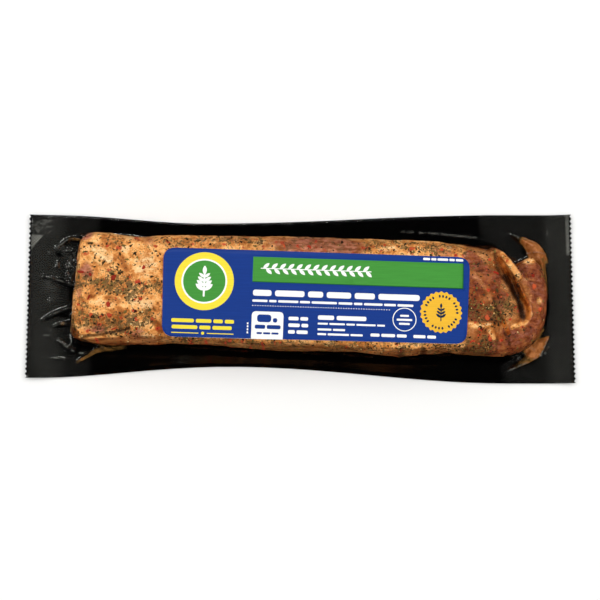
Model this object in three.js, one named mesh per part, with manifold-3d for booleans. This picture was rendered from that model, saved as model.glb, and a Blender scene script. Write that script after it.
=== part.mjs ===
// A raw pork tenderloin with a dry herb rub, sealed in a flat vacuum pack: a black backing film
// below, clear film drawn down over the meat and sealed to the backing all round, and a printed
// label on top. Millimetres. +X runs along the pack, +Y to its far long edge, +Z up, and the
// origin is the middle of the pack's underside.

import * as THREE from 'three';
import { mergeVertices } from 'three/addons/utils/BufferGeometryUtils.js';
import Module from 'manifold-3d';

const wasm = await Module();
wasm.setup();

// Driving dimensions of the pack
const PACK_LENGTH = 332.8;
const PACK_WIDTH = 104.4;
const FAR_WAIST = { centre: -58, left: 92, right: 180, depth: 5.3 };
const NEAR_WAIST = { centre: -43, left: 125, right: 170, depth: 10.2 };
const NEAR_LEFT_CORNER_PULL = 3.2;
const TOOTH_PITCH = 3;
const TOOTH_DEPTH = 1.2;
const BACKING = 0.4;
const CLEAR_FILM = 0.3;
const FILM_GAP = 0.1;
const FILM_END_INSET = 1.6;
const END_LIFT = 2.2;
const END_LIFT_REACH = { left: 26, right: 17 };
const SIDE_LIFT = 1.1;
const SIDE_RIPPLE = { pitch: 23, least: 0.75, swing: 0.4, seed: 3 };
const MARGIN_START = { far: 38, near: -35.4 };
const DIE_MARGIN = { outward: 6, depth: 16, below: 3 };

// Driving dimensions of the meat, in its own frame, which is turned in the pack by MEAT_TURN
const MEAT_TURN = THREE.MathUtils.degToRad(-1.9);
const MEAT_BASE = BACKING + FILM_GAP;
const MEAT_LEFT = -136.9;
const MEAT_CORNERS = { near: 6.5, far: 11 };
const CLEARANCE = 0.3;
const BULGE = { height: 7, tuck: 2.2 };
const FOOT_REACH = 3.4;
const FOOT_HEIGHT = 3;
const MEAT_DIE_HEIGHT = 20;

// Outline of the main muscle where it is widest: [place along the meat, distance across]
const NEAR_EDGE = [
  [-138, -32.8], [-126, -34], [-112, -33.4], [-98, -32.5], [-70, -32.4], [-54, -32.8],
  [-38, -33.6], [30, -33.8], [48, -34.9], [72, -34.6], [85, -31.9], [94, -32.4], [102, -32.7], [122, -33.2],
  [135, -32.8],
];
const FAR_EDGE = [
  [-138, 33.7], [-122, 34.1], [-98, 32], [-86, 33.1], [-62, 34.2], [-31, 34.3], [0, 35],
  [84, 35], [96, 33.3], [108, 32.2], [120, 30.9], [135, 29.8],
];
// The left end leans in towards its far corner: [distance across, place along the meat]
const LEFT_END = [[-34, MEAT_LEFT], [-14, MEAT_LEFT], [0, -136.1], [10, -135.5], [24, -135.1], [36, -135]];
// The right end of the main muscle slants, because the thin tail is folded back against it:
// [distance across, place along the meat]
const SLANT_END = [
  [-34, 123], [-24, 131], [-15, 134.2], [-7, 133.6], [1, 130.6], [14, 124.6], [26, 118.6], [34, 113.5],
];
const TOP_HEIGHT = [
  [-138, 27.4], [-128, 28.6], [-105, 29.8], [-60, 30.2], [20, 30.3], [85, 29.4], [105, 27.6], [118, 25.6],
  [134, 23.4],
];
const NEAR_ROUNDING = [[-138, 3.6], [-60, 3.4], [60, 4.6], [84, 4], [110, 8], [134, 9]];
const FAR_ROUNDING = [[-138, 9], [-90, 12], [90, 12.5], [134, 9]];
const LEFT_ROUNDING = 5.5;
const RIGHT_ROUNDING = 4.6;
const BOXINESS = 2.9;
const CROSS_CROWN = 0.9;
const TAIL_FOOT_SHARE = 0.8;

// The folded tail, its rolled upper edge and the thin rim beside the deep groove:
// centre line, half width and height at each station
const TAIL = {
  path: [[134.2, 26.2], [137.4, 20], [138.7, 13], [139.7, 5], [139.8, -3], [138.4, -11], [134.4, -18.3],
    [127.5, -22.4], [118, -24]],
  halfWidth: [4.8, 7.6, 9.2, 9.4, 9.2, 9.1, 9, 9, 8.4],
  height: [17.5, 20.4, 21.4, 21.8, 21.4, 21.8, 22.4, 22.6, 21.5],
};
const UPPER_ROLL = {
  path: [[112.5, 29.4], [117.4, 27.6], [122, 24], [126, 19.6], [129.6, 15], [131.4, 10.6]],
  halfWidth: [3, 3.8, 4, 4, 3.6, 3],
  height: [24.4, 25, 25, 24.6, 24, 22.8],
};
const LOWER_RIM = {
  path: [[130.2, 11], [132.6, 5.2], [135.2, -0.4], [137.4, -5], [138, -9.6], [136.2, -14.4], [132.2, -19]],
  halfWidth: [1.8, 1.9, 2, 2, 2, 2.1, 1.8],
  height: [22.4, 23.4, 24.2, 24.6, 24.6, 24.2, 23],
};
// The floor of the deep groove between the main muscle and the tail
const GROOVE_FLOOR = {
  path: [[117, 26], [122.5, 18], [128, 8], [132, -1], [134.5, -9]],
  halfWidth: [4, 5.5, 5.5, 4.5, 4],
  height: [19, 17.5, 15, 13.5, 14],
};

// Folds and creases in the top of the main muscle: raised when height is positive
const TOP_FOLDS = [
  { path: [[100.9, 14.6], [106.9, 9.9], [111.8, 4.5], [114.2, -2.1], [118.6, -12.2]], width: 2.4, height: 1 },
  { path: [[91.7, 30.2], [98.3, 25.5], [103.2, 20.1], [106.9, 14.8]], width: 2.2, height: -1.3 },
  { path: [[101.4, -18], [107.4, -19.4], [113.3, -17.4]], width: 2.2, height: 1.1 },
  { path: [[116.4, -12.5], [121.2, -14.8], [123.6, -19.5], [125.4, -25.6]], width: 2, height: 1.5 },
  { path: [[119.4, -16], [118.6, -22], [119.4, -28]], width: 1.8, height: -1.7 },
  { path: [[114.7, -18.6], [113.5, -22.8], [111.8, -28]], width: 1.8, height: 1.2 },
  { path: [[-133.6, -30.4], [-122, -31.4], [-112, -29.8], [-105, -26.8]], width: 2, height: 0.9 },
  { path: [[74, -34.5], [77, -29.5]], width: 2.4, height: -1.4 },
  { path: [[84, -34.5], [88, -31]], width: 2.4, height: 1 },
  { path: [[-129, -26.4], [-121, -27.4], [-110, -25.6], [-100, -22.6]], width: 1.7, height: -1.8 },
  { path: [[-135, -21], [-131, -24.6]], width: 2, height: -1.4 },
];
const LUMPS = [
  { alongPitch: 15, acrossPitch: 12, height: 0.8, seed: 1 },
  { alongPitch: 8, acrossPitch: 6.5, height: 0.5, seed: 2 },
];

// The label, in the meat's frame
const LABEL = { centre: [9.2, -3.7], halfLength: 91.6, halfWidth: 26.6, corner: 7.5, thickness: 0.28 };
const LABEL_LIFT = 0.22;
const LABEL_BED = 0.6;
const LABEL_TAPER = 1.4;
const LABEL_NEAR_TURN = 0.65;
const LABEL_SHADE = { start: 0.6, reach: 2.4 };
const LABEL_ROW_CROWDING = 1.3;
const LABEL_DIE = { from: 5, depth: 40 };

// Spices of the rub that stand out of the surface: radius, stretch, height and how many
const RUB_SEED = 4127;
const RUB_SPACING = 5.2;
const RUB_SUNK = 0.45;
const RUB_TAPER = 0.72;
const RUB_AREA = { left: MEAT_LEFT + 5, right: 122, near: -29.5, far: 31.5 };
const RUB_TRIES = 4000;
const RUB_STEEPEST = 0.5;
const RUB = [
  { name: 'chilli chip', radius: [1.3, 2.3], stretch: [1, 1.5], thick: 1.3, sides: 5, count: 30 },
  { name: 'herb flake', radius: [0.8, 1.2], stretch: [1.6, 2.6], thick: 1.1, sides: 5, count: 30 },
  { name: 'pepper grit', radius: [0.7, 1.1], stretch: [1, 1.2], thick: 1.4, sides: 5, count: 26 },
];
const TAIL_RUB = { share: 0.09, from: 0.12, to: 0.7, leftward: 1.5, rightward: 4, sunk: 0.3 };
const TAIL_REACH = { farEnd: 26, length: 50 };
const TAIL_RUB_NORMAL = new THREE.Vector3(0.12, 0, 1).normalize();
const FOLD_CLEARANCE = { roll: 6, rim: 5 };

// Film folds that stand up from the margin: path in the pack's frame, half width and height
const FILM_FOLDS = [
  { path: [[127.9, 40.7], [132.6, 38], [137.3, 35.1], [141.6, 32.2], [144.6, 27.6], [145.2, 24]],
    halfWidth: [0.5, 1.1, 2.2, 4.2, 5.4, 4.6], height: [0.8, 2.4, 4.4, 6.4, 7, 6] },
  { path: [[144.8, 29], [146.4, 23], [147.8, 16], [149, 9], [149.8, 2.5]],
    halfWidth: [4.2, 3.2, 2.2, 1.5, 0.7], height: [6.2, 7, 6, 4, 1.4] },
  { path: [[149.2, 27], [150.6, 23.6], [151.9, 20.2]], halfWidth: [1, 0.9, 0.5], height: [3, 2, 0.8] },
  { path: [[150.8, -23.2], [147, -26.6], [143.2, -30], [139.4, -33.4]],
    halfWidth: [0.5, 2.3, 4.4, 5.6], height: [1.2, 3.6, 6, 6.6] },
  { path: [[126.2, -44.4], [132.4, -40.8], [138, -37], [142.2, -33.4]],
    halfWidth: [0.5, 1.5, 2.8, 4], height: [0.8, 2.2, 4.4, 6] },
  { path: [[-107.6, -29.4], [-113.5, -30.6], [-119.5, -31.3], [-124.4, -32.6], [-128.4, -35.2], [-132.4, -37.6],
    [-136.6, -39.6]],
    halfWidth: [1.5, 1.6, 1.5, 1.4, 1.3, 1.1, 0.5], height: [4.2, 4.6, 4.2, 3.6, 2.8, 2, 0.8] },
  { path: [[-135.6, -39.9], [-130.2, -42.2]], halfWidth: [0.9, 0.5], height: [1.4, 0.6] },
  { path: [[-133, 36.6], [-138, 37.5], [-141.7, 37.3], [-145.6, 34.4], [-149.9, 31.6]],
    halfWidth: [1.8, 1.4, 1.2, 1.1, 0.6], height: [3.8, 2.8, 2.2, 1.8, 0.7] },
  { path: [[-148.8, 24], [-148.4, 18.6]], halfWidth: [0.9, 0.9], height: [1, 1] },
  { path: [[-142.4, 20], [-139.2, 20.2], [-137.4, 18.2], [-139, 15.4], [-140, 11.6]],
    halfWidth: [0.6, 0.9, 1, 0.9, 0.6], height: [0.8, 1.6, 2.2, 1.8, 0.9] },
  { path: [[-157.2, 14.1], [-152.9, 12.8], [-148.6, 11.8], [-143.5, 9.8], [-138, 8.4]],
    halfWidth: [0.5, 0.9, 1.1, 1.4, 1.8], height: [0.7, 1.3, 2, 2.8, 3.6] },
  { path: [[-157.4, -13.4], [-151, -10.2], [-146.1, -8], [-138.6, -5.6]],
    halfWidth: [0.5, 0.9, 1.2, 1.8], height: [0.7, 1.3, 2.2, 3.4] },
  { path: [[-149.7, -17.1], [-145.2, -15.7], [-138.8, -15.4]],
    halfWidth: [0.7, 1.3, 1.8], height: [0.9, 1.8, 3] },
  { path: [[-146.6, -25.2], [-144.2, -28.2], [-140.2, -31.2], [-136.2, -33]],
    halfWidth: [0.7, 1.1, 1.3, 1], height: [1, 1.7, 2.2, 1.4] },
  { path: [[-149.8, -36.6], [-143.1, -37.3]], halfWidth: [0.7, 0.7], height: [0.9, 0.9] },
];
const FOLD_SHARPNESS = 1.4;

// Mesh resolution
const NEAR_ROWS = [0, 0.25, 0.9, 2, 3.8, 7];
const FAR_ROWS = [0, 0.5, 1.6, 3.4, 6, 9.4, 13.4];
const INNER_ROWS = 6;
const END_COLUMNS = [0, 0.4, 1.4, 3, 5.4, 8.6];
const INNER_COLUMNS = 40;
const COLUMN_CROWDING = 0.32;
const MUSCLE_SPAN = 262;
const TAIL_STEPS = 20;
const RIM_STEPS = 12;
const FLOOR_STEPS = 7;
const TAIL_SIDES = [-1, -0.96, -0.84, -0.6, -0.25, 0.25, 0.6, 0.84, 0.96, 1];
const RIM_SIDES = [-1, -0.82, -0.3, 0.3, 0.82, 1];
const EAR_SIDES = [-1, -0.55, 0, 0.55, 1];
const WRINKLE_SIDES = [-1, 0, 1];
const EAR_WIDTH = 2.5;
const WEB_COLUMNS = 30;
const WEB_CROWDING = 1.3;
const WEB_ROWS = [0, 0.4, 0.75, 1];
const LABEL_COLUMNS = 18;
const LABEL_ROWS = 11;

// Curves and numbers

function clamp01(value) {
  return Math.min(1, Math.max(0, value));
}

function smooth(value) {
  const t = clamp01(value);
  return t * t * (3 - 2 * t);
}

// A smooth curve through [place, value] stations
function through(stations, place) {
  const last = stations.length - 1;
  if (place <= stations[0][0]) return stations[0][1];
  if (place >= stations[last][0]) return stations[last][1];
  let i = 0;
  while (place > stations[i + 1][0]) i += 1;
  const slope = (k) => {
    const before = stations[Math.max(0, k - 1)];
    const after = stations[Math.min(last, k + 1)];
    return (after[1] - before[1]) / (after[0] - before[0]);
  };
  const [x0, y0] = stations[i];
  const [x1, y1] = stations[i + 1];
  const span = x1 - x0;
  const t = (place - x0) / span;
  const rise = t * t * (3 - 2 * t);
  const start = t * (1 - t) * (1 - t) * span * slope(i);
  const end = t * t * (t - 1) * span * slope(i + 1);
  return y0 + (y1 - y0) * rise + start + end;
}

// Evenly spread stations for a list of values, for use with through()
function spread(values) {
  return values.map((value, k) => [k / (values.length - 1), value]);
}

function seeded(seed) {
  let state = seed;
  return () => {
    state = (state + 0x6d2b79f5) | 0;
    let t = Math.imul(state ^ (state >>> 15), 1 | state);
    t = (t + Math.imul(t ^ (t >>> 7), 61 | t)) ^ t;
    return ((t ^ (t >>> 14)) >>> 0) / 4294967296;
  };
}

// Smooth seeded noise between -1 and 1
function noise(x, y, seed) {
  const corner = (i, j) => {
    const mixed = Math.sin(i * 127.1 + j * 311.7 + seed * 74.7) * 43758.5453;
    return (mixed - Math.floor(mixed)) * 2 - 1;
  };
  const i = Math.floor(x);
  const j = Math.floor(y);
  const u = smooth(x - i);
  const v = smooth(y - j);
  const low = corner(i, j) * (1 - u) + corner(i + 1, j) * u;
  const high = corner(i, j + 1) * (1 - u) + corner(i + 1, j + 1) * u;
  return low * (1 - v) + high * v;
}

function distanceToPath(x, y, path) {
  let nearest = Infinity;
  for (let k = 0; k + 1 < path.length; k += 1) {
    const [ax, ay] = path[k];
    const [bx, by] = path[k + 1];
    const t = clamp01(((x - ax) * (bx - ax) + (y - ay) * (by - ay)) / ((bx - ax) ** 2 + (by - ay) ** 2));
    nearest = Math.min(nearest, Math.hypot(x - ax - t * (bx - ax), y - ay - t * (by - ay)));
  }
  return nearest;
}

// Rises from 0 at the outline to 1 at the rounding's full width, steep at first
function shoulder(distance, rounding) {
  const t = clamp01(distance / rounding);
  return (1 - (1 - t) ** BOXINESS) ** (1 / BOXINESS);
}

// Solids

function meshOf(positions, triangles) {
  const geometry = new THREE.BufferGeometry();
  geometry.setAttribute('position', new THREE.Float32BufferAttribute(positions, 3));
  geometry.setIndex(triangles);
  return geometry;
}

// A closed solid between two sheets of columns by rows points. upper(i, j) and lower(i, j) give
// points, with i along the columns, j across the rows, and the cross product of the two upwards.
function sheetSolid(columns, rows, upper, lower) {
  const positions = [];
  for (const sheet of [upper, lower]) {
    for (let i = 0; i < columns; i += 1) {
      for (let j = 0; j < rows; j += 1) positions.push(...sheet(i, j));
    }
  }
  const at = (side, i, j) => (side * columns + i) * rows + j;
  const triangles = [];
  const quad = (a, b, c, d) => triangles.push(a, b, c, a, c, d);
  for (let i = 0; i + 1 < columns; i += 1) {
    for (let j = 0; j + 1 < rows; j += 1) {
      quad(at(0, i, j), at(0, i + 1, j), at(0, i + 1, j + 1), at(0, i, j + 1));
      quad(at(1, i, j), at(1, i, j + 1), at(1, i + 1, j + 1), at(1, i + 1, j));
    }
    quad(at(1, i, 0), at(1, i + 1, 0), at(0, i + 1, 0), at(0, i, 0));
    quad(at(0, i, rows - 1), at(0, i + 1, rows - 1), at(1, i + 1, rows - 1), at(1, i, rows - 1));
  }
  for (let j = 0; j + 1 < rows; j += 1) {
    quad(at(0, 0, j), at(0, 0, j + 1), at(1, 0, j + 1), at(1, 0, j));
    quad(at(1, columns - 1, j), at(1, columns - 1, j + 1), at(0, columns - 1, j + 1), at(0, columns - 1, j));
  }
  return meshOf(positions, triangles);
}

// The steps round the edge of a sheet of columns by rows points
function edgeLoop(columns, rows) {
  const loop = [];
  for (let i = 0; i + 1 < columns; i += 1) loop.push([i, 0]);
  for (let j = 0; j + 1 < rows; j += 1) loop.push([columns - 1, j]);
  for (let i = columns - 1; i > 0; i -= 1) loop.push([i, rows - 1]);
  for (let j = rows - 1; j > 0; j -= 1) loop.push([0, j]);
  return loop;
}

// Triangles that fill a flat outline, facing up or down
function capTriangles(points, first, up) {
  const outline = points.map(({ x, y }) => new THREE.Vector2(x, y));
  return THREE.ShapeUtils.triangulateShape(outline, []).flatMap(([a, b, c]) => {
    const turn = (outline[b].x - outline[a].x) * (outline[c].y - outline[a].y)
      - (outline[b].y - outline[a].y) * (outline[c].x - outline[a].x);
    return turn > 0 === up ? [first + a, first + b, first + c] : [first + a, first + c, first + b];
  });
}

// A closed solid of level rings of equal counts of points, lowest first: [points, height] each
function stackedSolid(rings) {
  const count = rings[0][0].length;
  const positions = rings.flatMap(([points, height]) => points.flatMap((point) => [point.x, point.y, height]));
  const triangles = capTriangles(rings[0][0], 0, false);
  triangles.push(...capTriangles(rings[rings.length - 1][0], count * (rings.length - 1), true));
  for (let ring = 0; ring + 1 < rings.length; ring += 1) {
    for (let k = 0; k < count; k += 1) {
      const a = ring * count + k;
      const b = ring * count + ((k + 1) % count);
      triangles.push(a, b, b + count, a, b + count, a + count);
    }
  }
  return meshOf(positions, triangles);
}

// A closed solid under a sheet of columns by rows points, down to a flat foot at the level base.
// foot(i, j) gives the point below each point of the sheet's edge.
function moundSolid(columns, rows, upper, foot, base) {
  const loop = edgeLoop(columns, rows);
  const positions = [];
  for (let i = 0; i < columns; i += 1) {
    for (let j = 0; j < rows; j += 1) positions.push(...upper(i, j));
  }
  const outline = loop.map(([i, j]) => foot(i, j));
  outline.forEach((point) => positions.push(point.x, point.y, base));
  const triangles = [];
  for (let i = 0; i + 1 < columns; i += 1) {
    for (let j = 0; j + 1 < rows; j += 1) {
      const a = i * rows + j;
      triangles.push(a, a + rows, a + rows + 1, a, a + rows + 1, a + 1);
    }
  }
  const first = columns * rows;
  loop.forEach(([i, j], k) => {
    const next = (k + 1) % loop.length;
    const top = i * rows + j;
    const nextTop = loop[next][0] * rows + loop[next][1];
    triangles.push(first + k, first + next, nextTop, first + k, nextTop, top);
  });
  triangles.push(...capTriangles(outline, first, false));
  return meshOf(positions, triangles);
}

// The plan of a ridge along a path: plan(i, j, out, share) gives a point, with the path's edges
// moved out by out, or drawn in to a share of the half width
function ridgePlan({ path, halfWidth, height }, sides, steps) {
  const curve = new THREE.CatmullRomCurve3(path.map(([x, y]) => new THREE.Vector3(x, y, 0)));
  const widths = spread(halfWidth);
  const heights = spread(height);
  const length = curve.getLength();
  return (i, j, out = 0, share = 1) => {
    const along = 0.5 - 0.5 * Math.cos((Math.PI * i) / (steps - 1));
    const centre = curve.getPoint(along);
    const ahead = curve.getTangent(along);
    const half = through(widths, along) + out;
    const end = (2 * along - 1) * out;
    return {
      x: centre.x + ahead.x * end - ahead.y * half * sides[j] * share,
      y: centre.y + ahead.y * end + ahead.x * half * sides[j] * share,
      top: through(heights, along),
      inside: Math.min(half * (1 - Math.abs(sides[j])), Math.min(along, 1 - along) * length),
      half,
    };
  };
}

// A ridge whose height crown() sets. footShare says how far its foot tucks in.
function ridgeSolid(ridge, { sides, steps, base, crown, footShare = 1 }) {
  const plan = ridgePlan(ridge, sides, steps);
  const upper = (i, j) => {
    const p = plan(i, j);
    return [p.x, p.y, crown(p)];
  };
  return moundSolid(steps, sides.length, upper, (i, j) => plan(i, j, 0, footShare), base);
}

function toManifold(geometry) {
  const bare = geometry.clone();
  bare.deleteAttribute('normal');
  bare.deleteAttribute('uv');
  const merged = mergeVertices(bare, 1e-5);
  const vertProperties = new Float32Array(merged.attributes.position.array);
  const triVerts = new Uint32Array(merged.index.array);
  return new wasm.Manifold(new wasm.Mesh({ numProp: 3, vertProperties, triVerts }));
}

function toGeometry(manifold) {
  const { vertProperties, triVerts } = manifold.getMesh();
  return meshOf(Array.from(vertProperties), Array.from(triVerts));
}

function joined(geometries) {
  return geometries.map(toManifold).reduce((sum, next) => sum.add(next));
}

// Drops loose scraps that a join or a cut leaves
function largestPiece(manifold) {
  return manifold.decompose().reduce((best, next) => (next.volume() > best.volume() ? next : best));
}

// The pack's two films

function waist({ centre, left, right, depth }, x) {
  const t = Math.min(1, Math.abs(x - centre) / (x < centre ? left : right));
  return (depth * (1 + Math.cos(Math.PI * t))) / 2;
}

function farEdgeOfPack(x) {
  return PACK_WIDTH / 2 - waist(FAR_WAIST, x);
}

function nearEdgeOfPack(x) {
  const pull = x < NEAR_WAIST.centre ? NEAR_LEFT_CORNER_PULL : 0;
  const scaled = { ...NEAR_WAIST, depth: NEAR_WAIST.depth - pull };
  return -PACK_WIDTH / 2 + pull + waist(scaled, x);
}

// Where the margin starts to lift off the level, just outside the meat on each side
function marginStart(x, far) {
  return (far ? MARGIN_START.far : MARGIN_START.near) + Math.tan(MEAT_TURN) * x;
}

// Height of the margin above the level: its ends and its long edges curl up a little
function marginLift(x, outward) {
  const fromEnd = PACK_LENGTH / 2 - Math.abs(x);
  const reach = x < 0 ? END_LIFT_REACH.left : END_LIFT_REACH.right;
  const end = END_LIFT * clamp01(1 - fromEnd / reach) ** 2;
  const { pitch, least, swing, seed } = SIDE_RIPPLE;
  const ripple = least + swing * noise(x / pitch, 0.5, seed);
  return end + SIDE_LIFT * ripple * outward ** 2;
}

function webPoint(i, j) {
  const t = (2 * i) / (WEB_COLUMNS - 1) - 1;
  const x = (Math.sign(t) * PACK_LENGTH * (1 - (1 - Math.abs(t)) ** WEB_CROWDING)) / 2;
  const last = WEB_ROWS.length - 1;
  const far = j > last + 1;
  const edge = far ? farEdgeOfPack(x) : nearEdgeOfPack(x);
  const start = marginStart(x, far);
  if (j === last + 1) return [x, Math.tan(MEAT_TURN) * x, marginLift(x, 0)];
  const share = far ? WEB_ROWS[2 * last + 2 - j] : WEB_ROWS[j];
  return [x, edge + (start - edge) * share, marginLift(x, 1 - share)];
}

function webSheet(bottom, top) {
  const rows = 2 * WEB_ROWS.length + 1;
  const raised = (height) => (i, j) => {
    const [x, y, z] = webPoint(i, j);
    return [x, y, z + height];
  };
  return sheetSolid(WEB_COLUMNS, rows, raised(top), raised(bottom));
}

// The waste outside a cut end. Teeth of zero depth leave the end straight.
function endWaste(side, inset, toothDepth) {
  const cut = PACK_LENGTH / 2 - inset;
  const outside = cut + DIE_MARGIN.outward;
  const teeth = Math.ceil((PACK_WIDTH + DIE_MARGIN.outward) / TOOTH_PITCH);
  const start = (-teeth * TOOTH_PITCH) / 2;
  const shape = new THREE.Shape();
  shape.moveTo(side * outside, start);
  const steps = toothDepth > 0 ? 2 * teeth : 1;
  for (let k = 0; k <= steps; k += 1) {
    const depth = k % 2 ? toothDepth : 0;
    shape.lineTo(side * (cut - depth), start + (k * teeth * TOOTH_PITCH) / steps);
  }
  shape.lineTo(side * outside, start + teeth * TOOTH_PITCH);
  const waste = new THREE.ExtrudeGeometry(shape, { depth: DIE_MARGIN.depth, bevelEnabled: false });
  return waste.translate(0, 0, -DIE_MARGIN.below);
}

// The meat

function labelCover(x, y) {
  const outsideX = Math.abs(x - LABEL.centre[0]) - LABEL.halfLength;
  const outsideY = Math.abs(y - LABEL.centre[1]) - LABEL.halfWidth;
  return 1 - smooth((Math.max(outsideX, outsideY) - LABEL_SHADE.start) / LABEL_SHADE.reach);
}

// The top of the main muscle before its small relief
function muscleTop(x, y) {
  const near = through(NEAR_EDGE, x);
  const far = through(FAR_EDGE, x);
  const across = (2 * y - near - far) / (far - near);
  return through(TOP_HEIGHT, x) - CROSS_CROWN * across * across;
}

function muscleShoulders(x, y, slantEnd, leftEnd) {
  return shoulder(y - through(NEAR_EDGE, x), through(NEAR_ROUNDING, x))
    * shoulder(through(FAR_EDGE, x) - y, through(FAR_ROUNDING, x))
    * shoulder(x - leftEnd, LEFT_ROUNDING)
    * shoulder(slantEnd - x, RIGHT_ROUNDING);
}

function muscleRelief(x, y) {
  const cover = labelCover(x, y);
  const folds = TOP_FOLDS.reduce(
    (sum, fold) => sum + fold.height * Math.exp(-((distanceToPath(x, y, fold.path) / fold.width) ** 2)), 0);
  const lumps = LUMPS.reduce((sum, { alongPitch, acrossPitch, height, seed }) =>
    sum + height * noise(x / alongPitch, y / acrossPitch, seed), 0);
  return (1 - cover) * (folds + lumps) - cover * LABEL_BED;
}

// How far the outline draws in at the rounded corners of the left end
function cornerInset(fromNear, fromFar, out = 0) {
  const rounded = (distance, radius) => {
    const t = 1 - clamp01(distance / radius);
    return radius * (1 - Math.sqrt(1 - t * t));
  };
  return rounded(fromNear, MEAT_CORNERS.near + out) + rounded(fromFar, MEAT_CORNERS.far + out);
}

function leftEndOf(x, y) {
  return through(LEFT_END, y) + cornerInset(y - through(NEAR_EDGE, x), through(FAR_EDGE, x) - y);
}

// The height of a surface that bulges out to its widest a little above the foot
function aboveBulge(top, rise) {
  const widest = MEAT_BASE + BULGE.height;
  return widest + (top - widest) * rise;
}

function muscleHeight(x, y) {
  const rise = muscleShoulders(x, y, through(SLANT_END, y), leftEndOf(x, y));
  return aboveBulge(muscleTop(x, y) + muscleRelief(x, y), rise);
}

// Distances from one end, closely spaced there and evenly spaced between
function stationsBetween(from, to, startSteps, endSteps, inner, crowding) {
  const start = from + startSteps[startSteps.length - 1];
  const end = to - endSteps[endSteps.length - 1];
  const middle = Array.from({ length: inner }, (_, k) => {
    const t = (k + 1) / (inner + 1);
    return start + (end - start) * (t + crowding * t * (1 - t));
  });
  return [...startSteps.map((d) => from + d), ...middle, ...endSteps.toReversed().map((d) => to - d)];
}

const END_SHARES = END_COLUMNS.map((distance) => distance / MUSCLE_SPAN);
const MUSCLE_COLUMNS = stationsBetween(0, 1, END_SHARES, END_SHARES, INNER_COLUMNS, COLUMN_CROWDING);
const MUSCLE_ROWS = NEAR_ROWS.length + FAR_ROWS.length + INNER_ROWS;

// A point of the main muscle's plan, with its outline moved out
function musclePlan(i, j, out = 0) {
  const guess = MEAT_LEFT + MUSCLE_COLUMNS[i] * MUSCLE_SPAN;
  const near = through(NEAR_EDGE, guess) - out;
  const far = through(FAR_EDGE, guess) + out;
  const y = stationsBetween(near, far, NEAR_ROWS, FAR_ROWS, INNER_ROWS, 0)[j];
  const left = through(LEFT_END, y) - out + cornerInset(y - near, far - y, out);
  const right = through(SLANT_END, y) + out;
  return { x: left + MUSCLE_COLUMNS[i] * (right - left), y };
}

function mainMuscle() {
  const upper = (i, j) => {
    const { x, y } = musclePlan(i, j);
    return [x, y, muscleHeight(x, y)];
  };
  const foot = (i, j) => musclePlan(i, j, -BULGE.tuck);
  return moundSolid(MUSCLE_COLUMNS.length, MUSCLE_ROWS, upper, foot, MEAT_BASE);
}

function tailPieces() {
  const crown = ({ inside, half, top }) => aboveBulge(MEAT_BASE + top, shoulder(inside, half));
  const shared = { base: MEAT_BASE, crown, footShare: TAIL_FOOT_SHARE };
  return [
    ridgeSolid(TAIL, { sides: TAIL_SIDES, steps: TAIL_STEPS, ...shared }),
    ridgeSolid(UPPER_ROLL, { sides: RIM_SIDES, steps: RIM_STEPS, ...shared }),
    ridgeSolid(LOWER_RIM, { sides: RIM_SIDES, steps: RIM_STEPS, ...shared }),
    ridgeSolid(GROOVE_FLOOR, { sides: EAR_SIDES, steps: FLOOR_STEPS, ...shared }),
  ];
}

// Level rings round the meat's plan, as [distance out, height], turned with the meat in the pack
function roundTheMeat(rings) {
  const tail = ridgePlan(TAIL, TAIL_SIDES, TAIL_STEPS);
  const roll = ridgePlan(UPPER_ROLL, RIM_SIDES, RIM_STEPS);
  const floor = ridgePlan(GROOVE_FLOOR, EAR_SIDES, FLOOR_STEPS);
  const plans = [
    [edgeLoop(MUSCLE_COLUMNS.length, MUSCLE_ROWS), musclePlan],
    [edgeLoop(TAIL_STEPS, TAIL_SIDES.length), tail],
    [edgeLoop(RIM_STEPS, RIM_SIDES.length), roll],
    [edgeLoop(FLOOR_STEPS, EAR_SIDES.length), floor],
  ];
  return joined(plans.map(([loop, plan]) => {
    const coarse = loop.filter((_, k) => k % 2 === 0);
    const levels = rings.map(([out, height]) => [coarse.map(([i, j]) => plan(i, j, out)), height]);
    return stackedSolid(levels).rotateZ(MEAT_TURN);
  }));
}

// A flat chip of spice lying on the surface at a point with the given normal
function spiceChip(kind, random, point, normal) {
  const between = ([low, high]) => low + (high - low) * random();
  const radius = between(kind.radius);
  const chip = new THREE.CylinderGeometry(radius * RUB_TAPER, radius, kind.thick, kind.sides);
  chip.scale(between(kind.stretch), 1, 1);
  chip.rotateY(random() * Math.PI * 2);
  const turn = new THREE.Quaternion().setFromUnitVectors(new THREE.Vector3(0, 1, 0), normal);
  chip.applyQuaternion(turn);
  const sunk = kind.thick / 2 - RUB_SUNK;
  return chip.translate(point.x - normal.x * sunk, point.y - normal.y * sunk, point.z - normal.z * sunk);
}

function surfaceNormal(height, x, y) {
  const step = 0.6;
  const slopeX = (height(x + step, y) - height(x - step, y)) / (2 * step);
  const slopeY = (height(x, y + step) - height(x, y - step)) / (2 * step);
  return new THREE.Vector3(-slopeX, -slopeY, 1).normalize();
}

// A place on the folded tail for a chip
function tailSpot(tail, random) {
  const centre = tail.getPoint(THREE.MathUtils.lerp(TAIL_RUB.from, TAIL_RUB.to, random()));
  const x = centre.x + THREE.MathUtils.lerp(-TAIL_RUB.leftward, TAIL_RUB.rightward, random());
  const along = clamp01((TAIL_REACH.farEnd - centre.y) / TAIL_REACH.length);
  const z = MEAT_BASE + through(spread(TAIL.height), along) - TAIL_RUB.sunk;
  return { point: new THREE.Vector3(x, centre.y, z), normal: TAIL_RUB_NORMAL };
}

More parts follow.
